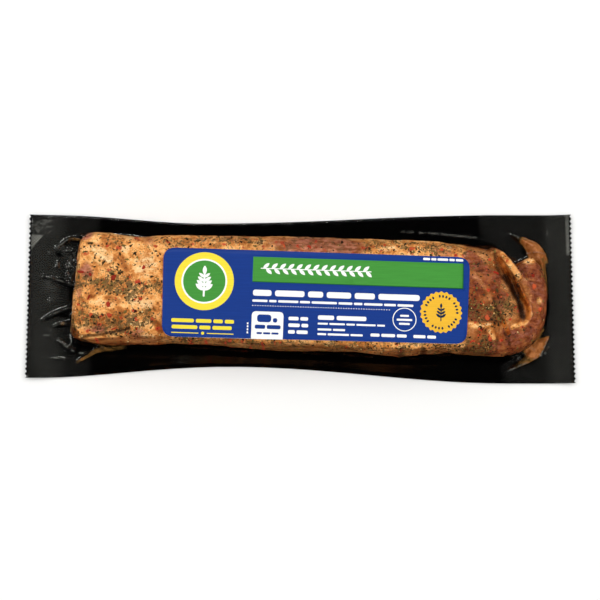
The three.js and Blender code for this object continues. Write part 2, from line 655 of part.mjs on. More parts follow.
// A place on the bare top of the main muscle for a chip, or null
function muscleSpot(random) {
  const x = THREE.MathUtils.lerp(RUB_AREA.left, RUB_AREA.right, random());
  const y = THREE.MathUtils.lerp(RUB_AREA.near, RUB_AREA.far, random());
  if (labelCover(x, y) > 0.01) return null;
  if (distanceToPath(x, y, UPPER_ROLL.path) < FOLD_CLEARANCE.roll) return null;
  if (distanceToPath(x, y, LOWER_RIM.path) < FOLD_CLEARANCE.rim) return null;
  const normal = surfaceNormal(muscleHeight, x, y);
  return normal.z < RUB_STEEPEST ? null : { point: new THREE.Vector3(x, y, muscleHeight(x, y)), normal };
}

// Chips spread over the bare parts of the main muscle and the tail
function rubChips() {
  const random = seeded(RUB_SEED);
  const tail = new THREE.CatmullRomCurve3(TAIL.path.map(([x, y]) => new THREE.Vector3(x, y, 0)));
  const placed = [];
  const chips = [];
  for (const kind of RUB) {
    let wanted = kind.count;
    for (let tries = 0; wanted > 0 && tries < RUB_TRIES; tries += 1) {
      const spot = random() < TAIL_RUB.share ? tailSpot(tail, random) : muscleSpot(random);
      if (!spot || placed.some((other) => other.distanceTo(spot.point) < RUB_SPACING)) continue;
      placed.push(spot.point);
      chips.push(spiceChip(kind, random, spot.point, spot.normal));
      wanted -= 1;
    }
  }
  return chips;
}

// The label

function labelPoint(i, j) {
  const u = (2 * i) / (LABEL_COLUMNS - 1) - 1;
  const v = (2 * j) / (LABEL_ROWS - 1) - 1;
  const across = Math.sign(v) * (1 - (1 - Math.abs(v)) ** LABEL_ROW_CROWDING);
  const nearness = 0.5 - 0.5 * across;
  const y = LABEL.centre[1] + across * LABEL.halfWidth + u * nearness * LABEL_NEAR_TURN;
  const x = LABEL.centre[0] + u * (LABEL.halfLength - LABEL_TAPER * nearness);
  return [x, y];
}

function labelSolid() {
  const surface = (lift) => (i, j) => {
    const [x, y] = labelPoint(i, j);
    const rise = muscleShoulders(x, y, through(SLANT_END, y), leftEndOf(x, y));
    return [x, y, aboveBulge(muscleTop(x, y), rise) + lift];
  };
  const upper = surface(LABEL_LIFT + LABEL.thickness);
  const sheet = sheetSolid(LABEL_COLUMNS, LABEL_ROWS, upper, surface(LABEL_LIFT));
  const { halfLength: a, halfWidth: b, corner: r } = LABEL;
  const near = a - LABEL_TAPER;
  const lean = (LABEL_TAPER * r) / (2 * b);
  const lowLeft = -b - LABEL_NEAR_TURN;
  const lowRight = -b + LABEL_NEAR_TURN;
  const outline = new THREE.Shape();
  outline.moveTo(-near + r, lowLeft);
  outline.lineTo(near - r, lowRight);
  outline.quadraticCurveTo(near, lowRight, near + lean, lowRight + r);
  outline.lineTo(a - lean, b - r);
  outline.quadraticCurveTo(a, b, a - r, b);
  outline.lineTo(-a + r, b);
  outline.quadraticCurveTo(-a, b, -a + lean, b - r);
  outline.lineTo(-near - lean, lowLeft + r);
  outline.quadraticCurveTo(-near, lowLeft, -near + r, lowLeft);
  const options = { depth: LABEL_DIE.depth, bevelEnabled: false, curveSegments: 5 };
  const die = new THREE.ExtrudeGeometry(outline, options);
  die.translate(LABEL.centre[0], LABEL.centre[1], LABEL_DIE.from);
  return toManifold(sheet).intersect(toManifold(die));
}

// Assembly

function backingFilm() {
  return joined([webSheet(0, BACKING)])
    .subtract(toManifold(endWaste(1, 0, TOOTH_DEPTH)))
    .subtract(toManifold(endWaste(-1, 0, TOOTH_DEPTH)));
}

function tenderloin() {
  return largestPiece(joined([mainMuscle(), ...tailPieces(), ...rubChips()]));
}

function clearFilm() {
  const bottom = BACKING + FILM_GAP;
  const sheet = toManifold(webSheet(bottom, bottom + CLEAR_FILM));
  const collar = roundTheMeat([
    [FOOT_REACH, bottom],
    [FOOT_REACH * 0.45, bottom + CLEAR_FILM + FOOT_HEIGHT * 0.25],
    [0, bottom + CLEAR_FILM + FOOT_HEIGHT],
  ]);
  const foldCrown = ({ x, inside, half, top }) => {
    const rise = marginLift(x, 0.5) + CLEAR_FILM / 2;
    return bottom + rise + top * Math.sin((Math.PI / 2) * clamp01(inside / half)) ** FOLD_SHARPNESS;
  };
  const folds = FILM_FOLDS.map((fold) => {
    const sides = Math.max(...fold.halfWidth) > EAR_WIDTH ? EAR_SIDES : WRINKLE_SIDES;
    return ridgeSolid(fold, { sides, steps: 2 + fold.path.length, base: bottom, crown: foldCrown });
  });
  const meat = roundTheMeat([[CLEARANCE, bottom - 1], [CLEARANCE, bottom + MEAT_DIE_HEIGHT]]);
  const below = toManifold(webSheet(-1, bottom + CLEAR_FILM / 2));
  return largestPiece(joined(folds)
    .add(collar)
    .subtract(below)
    .add(sheet)
    .subtract(meat)
    .subtract(toManifold(endWaste(1, FILM_END_INSET, 0)))
    .subtract(toManifold(endWaste(-1, FILM_END_INSET, 0))));
}

function node(name, manifold, material, turn = 0) {
  const mesh = new THREE.Mesh(toGeometry(manifold), new THREE.MeshStandardMaterial(material));
  mesh.name = name;
  mesh.rotation.z = turn;
  return mesh;
}

const pack = new THREE.Group();
pack.name = 'vacuum_packed_tenderloin';
pack.add(
  node('backing_film', backingFilm(), { color: 0x1b1c1a, roughness: 0.38, metalness: 0 }),
  node('clear_film', clearFilm(), {
    color: 0x3a3a36, roughness: 0.2, metalness: 0, transparent: true, opacity: 0.45,
  }),
  node('tenderloin', tenderloin(), { color: 0xb37945, roughness: 0.35, metalness: 0 }, MEAT_TURN),
  node('label', labelSolid(), { color: 0x24418c, roughness: 0.4, metalness: 0 }, MEAT_TURN),
);

export default pack;
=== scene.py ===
"""Looks of a raw pork tenderloin with a herb rub in a flat vacuum pack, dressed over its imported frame.

Lengths in the classes are millimetres. The pack's frame has +X along the pack, +Y to its far long
edge and +Z up. The meat's frame is the same, turned a little, as the meat lies in the pack.
"""

from __future__ import annotations

import itertools
import logging
import math
from dataclasses import dataclass, field
from enum import Enum

import bmesh
import bpy
import numpy as np
from bmesh.types import BMesh, BMVert
from bpy.types import Material, Mesh, Node, NodeSocket, NodeTree, Object
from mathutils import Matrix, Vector
from mathutils.bvhtree import BVHTree
from mathutils.geometry import delaunay_2d_cdt

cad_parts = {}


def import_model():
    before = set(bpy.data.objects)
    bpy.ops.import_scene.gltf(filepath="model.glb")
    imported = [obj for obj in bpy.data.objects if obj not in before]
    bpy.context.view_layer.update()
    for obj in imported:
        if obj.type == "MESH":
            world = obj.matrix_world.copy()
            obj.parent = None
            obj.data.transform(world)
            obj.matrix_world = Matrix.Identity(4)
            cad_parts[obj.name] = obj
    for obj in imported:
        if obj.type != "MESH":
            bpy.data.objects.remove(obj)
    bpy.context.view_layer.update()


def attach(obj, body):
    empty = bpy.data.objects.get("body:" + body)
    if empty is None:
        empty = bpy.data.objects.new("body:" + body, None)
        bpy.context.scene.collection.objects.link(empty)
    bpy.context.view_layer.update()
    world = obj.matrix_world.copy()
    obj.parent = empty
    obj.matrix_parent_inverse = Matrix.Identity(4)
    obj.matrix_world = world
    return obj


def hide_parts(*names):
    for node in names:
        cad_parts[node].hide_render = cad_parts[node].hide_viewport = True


LOG = logging.getLogger("scene")
MM = 0.001
BODY = "root"
MEAT_TURN = math.radians(-1.9)

# Noise: how far a seed shifts its pattern, and what scatters the values of its cells
SEED_STEP = 17.3
CELL_STEPS = np.array([127.1, 311.7, 74.7])
CELL_SCALE = 43758.5453

# Length of one band of the wave texture at a scale of 1
WAVE_PERIOD = 0.314

# Tells delaunay_2d_cdt to keep only the triangles inside the given faces
INSIDE_FACES = 1

Point = tuple[float, float]


class Slot(Enum):
    """The record's material slots."""

    BACKING = "backing"
    FILM = "film"
    MEAT = "meat"
    LABEL = "label"


# Small helpers for numbers


def smooth(value: np.ndarray) -> np.ndarray:
    """Eases values from 0 to 1, held outside that range."""
    held = np.clip(value, 0.0, 1.0)
    return held * held * (3.0 - 2.0 * held)


def lumps(points: np.ndarray, pitch: float, seed: int) -> np.ndarray:
    """Smooth noise over points.

    Args:
        points: rows of x, y, z.
        pitch: distance between lumps, in the points' unit.
        seed: picks the pattern.

    Returns:
        One value from -1 to 1 for each point.
    """
    scaled = points / pitch + seed * SEED_STEP
    cell = np.floor(scaled)
    part = smooth(scaled - cell)
    total = np.zeros(len(points))
    for corner in itertools.product((0, 1), repeat=3):
        mixed = np.sin((cell + corner) @ CELL_STEPS) * CELL_SCALE
        weight = np.prod(np.where(corner, part, 1.0 - part), axis=1)
        total += weight * (mixed - np.floor(mixed))
    return 2.0 * total - 1.0


def drift(points: np.ndarray, pitch: float, seed: int) -> np.ndarray:
    """Smooth sideways shifts of points in plan, from -1 to 1 each way."""
    shifts = [lumps(points, pitch, seed), lumps(points, pitch, seed + 1), np.zeros(len(points))]
    return np.stack(shifts, axis=1)


def turned(points: np.ndarray, angle: float) -> np.ndarray:
    """Turns the x and y of points about the origin.

    Args:
        points: rows of x, y, z.
        angle: the turn in radians.

    Returns:
        The turned points.
    """
    spun = points.copy()
    spun[:, 0] = points[:, 0] * math.cos(angle) - points[:, 1] * math.sin(angle)
    spun[:, 1] = points[:, 0] * math.sin(angle) + points[:, 1] * math.cos(angle)
    return spun


def nearest_on_step(points: np.ndarray, start: Point, end: Point) -> tuple[np.ndarray, np.ndarray]:
    """Finds the nearest place on a straight step to each point, in plan.

    Args:
        points: rows of x, y, z.
        start: where the step starts.
        end: where it ends.

    Returns:
        The share of the step up to that place and the distance to it, for each point.
    """
    origin = np.array(start, float)
    step = np.array(end, float) - origin
    share = np.clip(((points[:, :2] - origin) @ step) / (step @ step), 0.0, 1.0)
    gap = points[:, :2] - origin - share[:, None] * step
    return share, np.hypot(gap[:, 0], gap[:, 1])


def distance_to_path(points: np.ndarray, path: tuple[Point, ...]) -> np.ndarray:
    """Distance in plan from each point to a path of straight steps."""
    return np.min([nearest_on_step(points, *ends)[1] for ends in zip(path, path[1:])], axis=0)


# Small helpers for meshes and materials


def srgb(code: str) -> tuple[float, float, float, float]:
    """Turns an sRGB hex colour to linear RGBA.

    Args:
        code: the colour, as #rrggbb.

    Returns:
        The linear colour.
    """
    parts = [int(code[k : k + 2], 16) / 255 for k in (1, 3, 5)]
    linear = [c / 12.92 if c <= 0.04045 else ((c + 0.055) / 1.055) ** 2.4 for c in parts]
    return (*linear, 1.0)


def add(
    tree: NodeTree,
    kind: str,
    links: dict | None = None,
    stops: list | None = None,
    **settings: str | float | bool,
) -> Node:
    """Adds a node with its settings and links.

    Args:
        tree: the material's node tree.
        kind: the node's type name.
        links: input name or index to a value, or to the output socket that feeds it.
        stops: (place, hex colour or grey) pairs, for a colour ramp.
        settings: the node's own properties.

    Returns:
        The new node.
    """
    node = tree.nodes.new(kind)
    for name, value in settings.items():
        setattr(node, name, value)
    for key, value in (links or {}).items():
        if isinstance(value, NodeSocket):
            tree.links.new(value, node.inputs[key])
        else:
            node.inputs[key].default_value = value
    if stops:
        elements = node.color_ramp.elements
        while len(elements) < len(stops):
            elements.new(1.0)
        for element, (place, colour) in zip(elements, stops):
            element.position = place
            element.color = srgb(colour) if isinstance(colour, str) else (colour,) * 3 + (1.0,)
    return node


def fresh_material(name: str) -> tuple[Material, NodeTree, Node]:
    """Makes an empty material.

    Args:
        name: the material's name.

    Returns:
        The material, its tree and its output node.
    """
    material = bpy.data.materials.new(name)
    material.use_nodes = True
    material.node_tree.nodes.clear()
    output = add(material.node_tree, "ShaderNodeOutputMaterial")
    return material, material.node_tree, output


def place_in_mm(tree: NodeTree) -> NodeSocket:
    """The point's place on the object in millimetres."""
    place = add(tree, "ShaderNodeTexCoord").outputs["Object"]
    return add(tree, "ShaderNodeVectorMath", {0: place, "Scale": 1 / MM}, operation="SCALE").outputs[0]


def cad_copy(name: str) -> BMesh:
    """A bmesh copy of a CAD node with its loose triangles merged.

    Args:
        name: the node's name.

    Returns:
        The copy.
    """
    copy = bmesh.new()
    copy.from_mesh(bpy.data.objects[name].data)
    bmesh.ops.remove_doubles(copy, verts=copy.verts, dist=0.002 * MM)
    return copy


def object_from(name: str, mesh: Mesh, *materials: Material) -> Object:
    """Links a new smooth-shaded object that carries the mesh and materials.

    Args:
        name: the object's name.
        mesh: its mesh.
        materials: its finishes, in the order of their slots.

    Returns:
        The object.
    """
    for material in materials:
        mesh.materials.append(material)
    mesh.shade_smooth()
    made = bpy.data.objects.new(name, mesh)
    bpy.context.scene.collection.objects.link(made)
    return made


def object_from_bmesh(name: str, shape: BMesh, *materials: Material) -> Object:
    """Turns a bmesh into a linked object and frees it.

    Args:
        name: the object's name.
        shape: the bmesh.
        materials: its finishes.

    Returns:
        The object.
    """
    mesh = bpy.data.meshes.new(name)
    shape.to_mesh(mesh)
    shape.free()
    return object_from(name, mesh, *materials)


def apply_modifiers(piece: Object) -> None:
    """Replaces the piece's mesh by what its modifiers make of it.

    Args:
        piece: the piece to change.
    """
    graph = bpy.context.evaluated_depsgraph_get()
    finished = bpy.data.meshes.new_from_object(piece.evaluated_get(graph))
    piece.modifiers.clear()
    old, piece.data = piece.data, finished
    bpy.data.meshes.remove(old)
    finished.name = piece.name
    finished.shade_smooth()


def voxel_skin(piece: Object, voxel: float, rounds: int) -> None:
    """Turns a piece into one even closed skin and smooths it.

    Args:
        piece: the object to change.
        voxel: size of the skin's faces, in millimetres.
        rounds: how many times it is smoothed.
    """
    piece.modifiers.new("skin", "REMESH").voxel_size = voxel * MM
    apply_modifiers(piece)
    shape = bmesh.new()
    shape.from_mesh(piece.data)
    for _ in range(rounds):
        bmesh.ops.smooth_vert(
            shape, verts=shape.verts, factor=0.5, use_axis_x=True, use_axis_y=True, use_axis_z=True
        )
    shape.to_mesh(piece.data)
    shape.free()


def vertex_arrays(mesh: Mesh) -> tuple[np.ndarray, np.ndarray]:
    """Places in millimetres and normals of a mesh's vertices.

    Args:
        mesh: the mesh.

    Returns:
        Rows of places and of normals.
    """
    places = np.empty(len(mesh.vertices) * 3)
    normals = np.empty(len(mesh.vertices) * 3)
    mesh.vertices.foreach_get("co", places)
    mesh.vertices.foreach_get("normal", normals)
    return places.reshape(-1, 3) / MM, normals.reshape(-1, 3)


def move_vertices(mesh: Mesh, places: np.ndarray) -> None:
    """Puts a mesh's vertices at places in millimetres."""
    mesh.vertices.foreach_set("co", (places * MM).astype(np.float32).ravel())
    mesh.update()


def paint(mesh: Mesh, name: str, values: np.ndarray) -> None:
    """Stores one number for each vertex, for the materials to read."""
    mesh.attributes.new(name, "FLOAT", "POINT").data.foreach_set("value", values.astype(np.float32))


def tree_of(mesh: Mesh) -> BVHTree:
    """A search tree of a mesh's faces, in metres."""
    return BVHTree.FromPolygons([v.co for v in mesh.vertices], [p.vertices for p in mesh.polygons])


def dress(piece: Object, slot: Slot | None, *nodes: str) -> None:
    """Fixes a finished piece to the part.

    Args:
        piece: the finished object.
        slot: the record's material slot; not used.
        nodes: the CAD nodes that it stands for.
    """
    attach(piece, BODY)
    if nodes:
        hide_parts(*nodes)
    LOG.info("%s: %d faces", piece.name, len(piece.data.polygons))


# Finishes


def knurl_pattern(tree: NodeTree, place: NodeSocket, pitch: float) -> NodeSocket:
    """Height of the diamond grid that a sealing bar presses into film.

    Args:
        tree: the material's node tree.
        place: the point's place in millimetres.
        pitch: distance between the grid's lines.

    Returns:
        The height, from 0 to 1.
    """
    turned_place = add(tree, "ShaderNodeMapping", {"Vector": place, "Rotation": (0, 0, math.radians(45))})
    waves = [
        add(
            tree,
            "ShaderNodeTexWave",
            {"Vector": turned_place.outputs[0], "Scale": WAVE_PERIOD / pitch},
            wave_profile="SIN",
            bands_direction=direction,
        ).outputs["Fac"]
        for direction in ("X", "Y")
    ]
    return add(tree, "ShaderNodeMath", {0: waves[0], 1: waves[1]}, operation="MULTIPLY").outputs[0]


@dataclass(frozen=True)
class BlackBarrierFilm:
    """Coextruded black polyamide and polyethylene film, calendered, semi-gloss.

    The eye sees a deep black that turns grey where it catches a light, with the fine diamond
    grid that the sealing bar presses into it.
    """

    black: str = "#020202"
    roughness: float = 0.35
    knurl_pitch: float = 1.25
    knurl_depth: float = 0.04

    def material(self) -> Material:
        """Builds the material.

        Returns:
            The material.
        """
        material, tree, output = fresh_material("black_barrier_film")
        grid = knurl_pattern(tree, place_in_mm(tree), self.knurl_pitch)
        bump = add(
            tree, "ShaderNodeBump", {"Height": grid, "Strength": 0.5, "Distance": self.knurl_depth * MM}
        ).outputs[0]
        shader = add(
            tree,
            "ShaderNodeBsdfPrincipled",
            {
                "Base Color": srgb(self.black),
                "Roughness": self.roughness,
                "Specular IOR Level": 0.03,
                "Normal": bump,
            },
        )
        tree.links.new(shader.outputs[0], output.inputs[0])
        return material


@dataclass(frozen=True)
class ClearBarrierFilm:
    """Clear coextruded forming film, drawn tight by the vacuum, glossy.

    The eye sees what lies under it, with small sharp glints on its wrinkles and the sealing bar's
    diamond grid on the flat margin. Where marinade has run into a fold it is brown and hardly
    lets light through. Its milky grey is real at the peel corner and the frost, and painted light
    elsewhere: painted sheen on the level margin at the ends, painted glints on the wrinkle crests,
    and painted shade in the hollows beside them.
    """

    gloss: str = "#f2f2ee"
    juices: tuple = (
        (0.0, "#12100a"),
        (0.3, "#4a3517"),
        (0.46, "#80582a"),
        (0.6, "#8e4f22"),
        (0.78, "#b87440"),
    )
    juice_size: float = 3.2
    # Milky grey: real haze at the corners and frost, and also the painted sheen and painted glints.
    haze: str = "#84847d"
    knurl_pitch: float = 1.25
    knurl_depth: float = 0.008
    crinkle_size: float = 2.4
    crinkle_depth: float = 0.03
    pebble_size: float = 0.9
    pebble_depth: float = 0.35
    clinging: float = 0.2
    mirrored: Point = (0.035, 0.16)
    haze_and_sheen_dots: Point = (0.45, 2.3)

    def material(self) -> Material:
        """Builds the material.

        Returns:
            The material.
        """
        material, tree, output = fresh_material("clear_barrier_film")
        place = place_in_mm(tree)
        seal, pebble, slack, tint, haze = (
            add(tree, "ShaderNodeAttribute", attribute_name=name).outputs["Fac"]
            for name in ("seal", "pebble", "slack", "juice", "haze")
        )
        knurl = knurl_pattern(tree, place, self.knurl_pitch)
        pressed = add(tree, "ShaderNodeMath", {0: knurl, 1: seal}, operation="MULTIPLY").outputs[0]
        crinkle = add(
            tree,
            "ShaderNodeTexNoise",
            {"Vector": place, "Scale": 1 / self.crinkle_size, "Detail": 3.0, "Roughness": 0.6},
        ).outputs[0]
        grit = add(
            tree, "ShaderNodeTexNoise", {"Vector": place, "Scale": 1 / self.pebble_size, "Detail": 2.0}
        ).outputs[0]
        grit = add(tree, "ShaderNodeMath", {0: grit, 1: pebble}, operation="MULTIPLY").outputs[0]
        under = {}
        for height, depth in (
            (pressed, self.knurl_depth),
            (crinkle, self.crinkle_depth),
            (grit, self.pebble_depth),
        ):
            relief = {"Height": height, "Strength": 1.0, "Distance": depth * MM}
            bump = add(tree, "ShaderNodeBump", relief | under).outputs[0]
            under = {"Normal": bump}
        fresnel = add(tree, "ShaderNodeFresnel", {"IOR": 1.5, "Normal": bump}).outputs[0]
        least, most = self.mirrored
        held = add(
            tree,
            "ShaderNodeMapRange",
            {"Value": fresnel, "From Min": 0.04, "From Max": 0.8, "To Min": least, "To Max": most},
        ).outputs[0]
        share = add(tree, "ShaderNodeMapRange", {"Value": slack, "To Min": self.clinging}).outputs[0]
        held = add(tree, "ShaderNodeMath", {0: held, 1: share}, operation="MULTIPLY").outputs[0]
        clear = add(tree, "ShaderNodeBsdfTransparent", {"Color": (1.0, 1.0, 1.0, 1.0)})
        gloss = add(
            tree, "ShaderNodeBsdfAnisotropic", {"Color": srgb(self.gloss), "Roughness": 0.1, "Normal": bump}
        )
        film = add(tree, "ShaderNodeMixShader", {0: held, 1: clear.outputs[0], 2: gloss.outputs[0]})
        shade = add(
            tree,
            "ShaderNodeTexNoise",
            {"Vector": place, "Scale": 1 / self.juice_size, "Detail": 4.0, "Roughness": 0.65},
        ).outputs[0]
        depth = add(tree, "ShaderNodeMath", {0: shade, 1: 0.9, 2: -0.45}, operation="MULTIPLY_ADD").outputs[0]
        tone = add(tree, "ShaderNodeMath", {0: depth, 1: tint}, operation="ADD").outputs[0]
        juice_colour = add(tree, "ShaderNodeValToRGB", {"Fac": tone}, stops=list(self.juices)).outputs[0]
        juice = add(
            tree,
            "ShaderNodeBsdfPrincipled",
            {"Base Color": juice_colour, "Roughness": 0.26, "Specular IOR Level": 0.3, "Normal": bump},
        )
        cover = add(
            tree,
            "ShaderNodeMapRange",
            {"Value": tint, "From Min": 0.04, "From Max": 0.4, "To Max": 0.97},
            interpolation_type="SMOOTHSTEP",
        ).outputs[0]
        tinted = add(tree, "ShaderNodeMixShader", {0: cover, 1: film.outputs[0], 2: juice.outputs[0]})
        # Milky grey shader: real haze at the corners and frost, painted sheen on the level margin and painted
        # glints on the crests.
        milky_and_sheen = add(tree, "ShaderNodeBsdfDiffuse", {"Color": srgb(self.haze)})
        least, most = self.haze_and_sheen_dots
        dots = add(tree, "ShaderNodeMapRange", {"Value": pressed, "To Min": least, "To Max": most}).outputs[0]
        haze = add(tree, "ShaderNodeMath", {0: haze, 1: dots}, operation="MULTIPLY").outputs[0]
        hazy_and_sheen = add(tree, "ShaderNodeMixShader", {0: haze, 1: tinted.outputs[0], 2: milky_and_sheen.outputs[0]})
        tree.links.new(hazy_and_sheen.outputs[0], output.inputs[0])
        return material


@dataclass(frozen=True)
class SurfaceLayer:
    """One colour layer of the meat, as strong at each place as the attribute of its name says.

    Its tones lie at places of its pattern. Noise frays its edge by ragged. It begins to show at
    low and is full at high, where it hides most of what is under it.
    """

    name: str
    pattern: str
    tones: tuple
    ragged: float
    low: float
    high: float
    most: float
    places: tuple = (0.36, 0.48, 0.6)


@dataclass(frozen=True)
class MarinatedPork:
    """Raw pork loin muscle, trimmed, under an oily rub.

    The eye sees golden marinade over pale fat and silverskin, mauve lean meat where it is thin,
    brown where it pools, and olive dust of ground herbs in soft mottles. The brown layer also
    carries painted shade on steep walls, on walls that face the near side and low down; the pale
    layer carries painted highlights on rolls and rims; and the creases go near black with dark
    juice and painted shade.
    """

    gold: tuple = ((0.36, "#94501e"), (0.45, "#cc803e"), (0.53, "#f0aa60"), (0.62, "#ffca88"))
    layers: tuple = (
        # Pale fat and silverskin, and painted highlights on rolls and rims.
        SurfaceLayer("cream", "fibre", ("#e8a862", "#ffdca4"), 3.0, 0.35, 1.0, 0.86, (0.38, 0.6)),
        SurfaceLayer("lean", "fibre", ("#5c281e", "#8e4c3a", "#bc7660"), 1.7, 0.2, 1.0, 0.88),
        # Marinade brown, with painted shade on steep walls, near-facing walls and low down.
        SurfaceLayer("brown", "patchy", ("#3c1204", "#702e0e", "#a05626"), 1.4, 0.15, 0.95, 0.9),
        SurfaceLayer("amber", "patchy", ("#5a1c03", "#8a3c0a", "#c06a24"), 1.2, 0.25, 0.9, 0.92),
        SurfaceLayer("herb", "fine", ("#1e150a", "#4a361a", "#7c6034"), 7.0, 0.78, 1.12, 0.86),
        SurfaceLayer("chilli", "fine", ("#8e1c0e", "#b42c1a", "#cc5630"), 2.6, 0.35, 0.95, 0.88),
    )
    # Near black of the creases: dark juice in them and painted shade.
    dark: str = "#1c0701"

    def material(self) -> Material:
        """Builds the material.

        Returns:
            The material.
        """
        material, tree, output = fresh_material("marinated_pork")
        place = place_in_mm(tree)
        broad, mottle, fine = (
            add(
                tree,
                "ShaderNodeTexNoise",
                {"Vector": place, "Scale": 1 / size, "Detail": 4.0, "Roughness": 0.6, "Distortion": bend},
            ).outputs[0]
            for size, bend in ((8.0, 0.5), (2.8, 0.7), (1.0, 0.3))
        )
        fibre_place = add(tree, "ShaderNodeMapping", {"Vector": place, "Scale": (0.3, 1.0, 1.0)})
        fibre = add(
            tree,
            "ShaderNodeTexNoise",
            {"Vector": fibre_place.outputs[0], "Scale": 1 / 1.7, "Detail": 4.0, "Roughness": 0.6},
        ).outputs[0]
        ragged = add(tree, "ShaderNodeMix", {0: 0.4, 2: mottle, 3: fine}).outputs[0]
        patchy = add(tree, "ShaderNodeMix", {0: 0.45, 2: broad, 3: mottle}).outputs[0]
        colour = add(tree, "ShaderNodeValToRGB", {"Fac": patchy}, stops=list(self.gold)).outputs[0]
        patterns = {"fibre": fibre, "patchy": patchy, "fine": fine}
        for layer in self.layers:
            amount = add(tree, "ShaderNodeAttribute", attribute_name=layer.name).outputs["Fac"]
            fray = {0: ragged, 1: layer.ragged, 2: -0.5 * layer.ragged}
            even = add(tree, "ShaderNodeMath", fray, operation="MULTIPLY_ADD").outputs[0]
            edge = add(tree, "ShaderNodeMath", {0: even, 1: amount}, operation="ADD").outputs[0]
            mask = add(
                tree,
                "ShaderNodeMapRange",
                {"Value": edge, "From Min": layer.low, "From Max": layer.high, "To Max": layer.most},
                interpolation_type="SMOOTHSTEP",
            ).outputs[0]
            stops = list(zip(layer.places, layer.tones))
            tone = add(tree, "ShaderNodeValToRGB", {"Fac": patterns[layer.pattern]}, stops).outputs[0]
            mix = {0: mask, 6: colour, 7: tone}
            colour = add(tree, "ShaderNodeMix", mix, data_type="RGBA").outputs[2]
        # Creases turn the colour towards near black: dark juice and painted shade.
        crease = add(tree, "ShaderNodeAttribute", attribute_name="crease").outputs["Fac"]
        mix = {0: crease, 6: colour, 7: srgb(self.dark)}
        colour = add(tree, "ShaderNodeMix", mix, data_type="RGBA").outputs[2]
        grain = add(tree, "ShaderNodeMath", {0: mottle, 1: fibre}, operation="ADD").outputs[0]
        bump = add(tree, "ShaderNodeBump", {"Height": grain, "Strength": 0.9, "Distance": 0.6 * MM})
        shader = add(
            tree,
            "ShaderNodeBsdfPrincipled",
            {
                "Base Color": colour,
                "Roughness": 0.4,
                "Specular IOR Level": 0.1,
                "Normal": bump.outputs[0],
            },
        )
        tree.links.new(shader.outputs[0], output.inputs[0])
        return material


@dataclass(frozen=True)
class DrySpice:
    """A ground or flaked dry spice, wetted by the marinade, each scrap with its own tone."""

    name: str
    tones: tuple
    roughness: float = 0.45

    def material(self) -> Material:
        """Builds the material.

        Returns:
            The material.
        """
        material, tree, output = fresh_material(self.name)
        tone = add(tree, "ShaderNodeAttribute", attribute_name="tone").outputs["Fac"]
        vein = add(
            tree, "ShaderNodeTexNoise", {"Vector": place_in_mm(tree), "Scale": 1 / 0.5, "Detail": 2.0}
        ).outputs[0]
        mixed = add(tree, "ShaderNodeMath", {0: vein, 1: 0.35, 2: tone}, operation="MULTIPLY_ADD").outputs[0]
        colour = add(tree, "ShaderNodeValToRGB", {"Fac": mixed}, stops=list(self.tones)).outputs[0]
        finish = {"Base Color": colour, "Roughness": self.roughness, "Specular IOR Level": 0.1}
        shader = add(tree, "ShaderNodeBsdfPrincipled", finish)
        tree.links.new(shader.outputs[0], output.inputs[0])
        return material


@dataclass(frozen=True)
class PrintInk:
    """Flexographic ink on coated label paper, varnished to a satin.

    The eye sees a flat field of colour with the faint bands and grain of the press.
    """

    name: str
    colour: str
    roughness: float = 0.42

    def material(self) -> Material:
        """Builds the material.

        Returns:
            The material.
        """
        material, tree, output = fresh_material(self.name)
        place = place_in_mm(tree)
        streaks = add(tree, "ShaderNodeMapping", {"Vector": place, "Scale": (0.06, 1.0, 1.0)})
        band = add(
            tree, "ShaderNodeTexNoise", {"Vector": streaks.outputs[0], "Scale": 1 / 0.9, "Detail": 3.0}
        ).outputs[0]
        strength = {"Value": band, "From Min": 0.3, "From Max": 0.7, "To Min": 0.94, "To Max": 1.06}
        shift = add(tree, "ShaderNodeMapRange", strength).outputs[0]
        colour = add(
            tree, "ShaderNodeVectorMath", {0: srgb(self.colour)[:3], "Scale": shift}, operation="SCALE"
        ).outputs[0]
        fibre = add(tree, "ShaderNodeTexNoise", {"Vector": place, "Scale": 1 / 0.7, "Detail": 3.0}).outputs[0]
        bump = add(tree, "ShaderNodeBump", {"Height": fibre, "Strength": 0.2, "Distance": 0.04 * MM})
        shader = add(
            tree,
            "ShaderNodeBsdfPrincipled",
            {
                "Base Color": colour,
                "Roughness": self.roughness,
                "Specular IOR Level": 0.12,
                "Normal": bump.outputs[0],
            },
        )
        tree.links.new(shader.outputs[0], output.inputs[0])
        return material


# Areas that are painted or raised


@dataclass(frozen=True)
class Patch:
    """A soft-edged oval area in plan, that has faded out at so many times its half sizes."""

    x: float
    y: float
    half_length: float
    half_width: float
    strength: float = 1.0
    fades_at: float = 1.45

    def at(self, places: np.ndarray) -> np.ndarray:
        """How strong the patch is at each place.

        Args:
            places: rows of x, y, z in millimetres.

        Returns:
            A value for each place.
        """
        along = (places[:, 0] - self.x) / self.half_length
        across = (places[:, 1] - self.y) / self.half_width
        return self.strength * smooth(self.fades_at - np.hypot(along, across))


@dataclass(frozen=True)
class Bed:
    """A band of rub, colour or fold along a path in plan, that stands out by its rise.

    It has faded out at so many times its half width.
    """

    path: tuple
    half_width: float
    strength: float = 1.0
    rise: float = 0.0
    fades_at: float = 1.5

    def at(self, places: np.ndarray) -> np.ndarray:
        """How strong the band is at each place."""
        away = distance_to_path(places, self.path) / self.half_width
        return self.strength * smooth(self.fades_at - away)


def strongest(areas: tuple[Patch | Bed, ...], places: np.ndarray) -> np.ndarray:
    """How strong the strongest of some areas is at each place."""
    return np.max([area.at(places) for area in areas], axis=0)


# The pack's outline and films


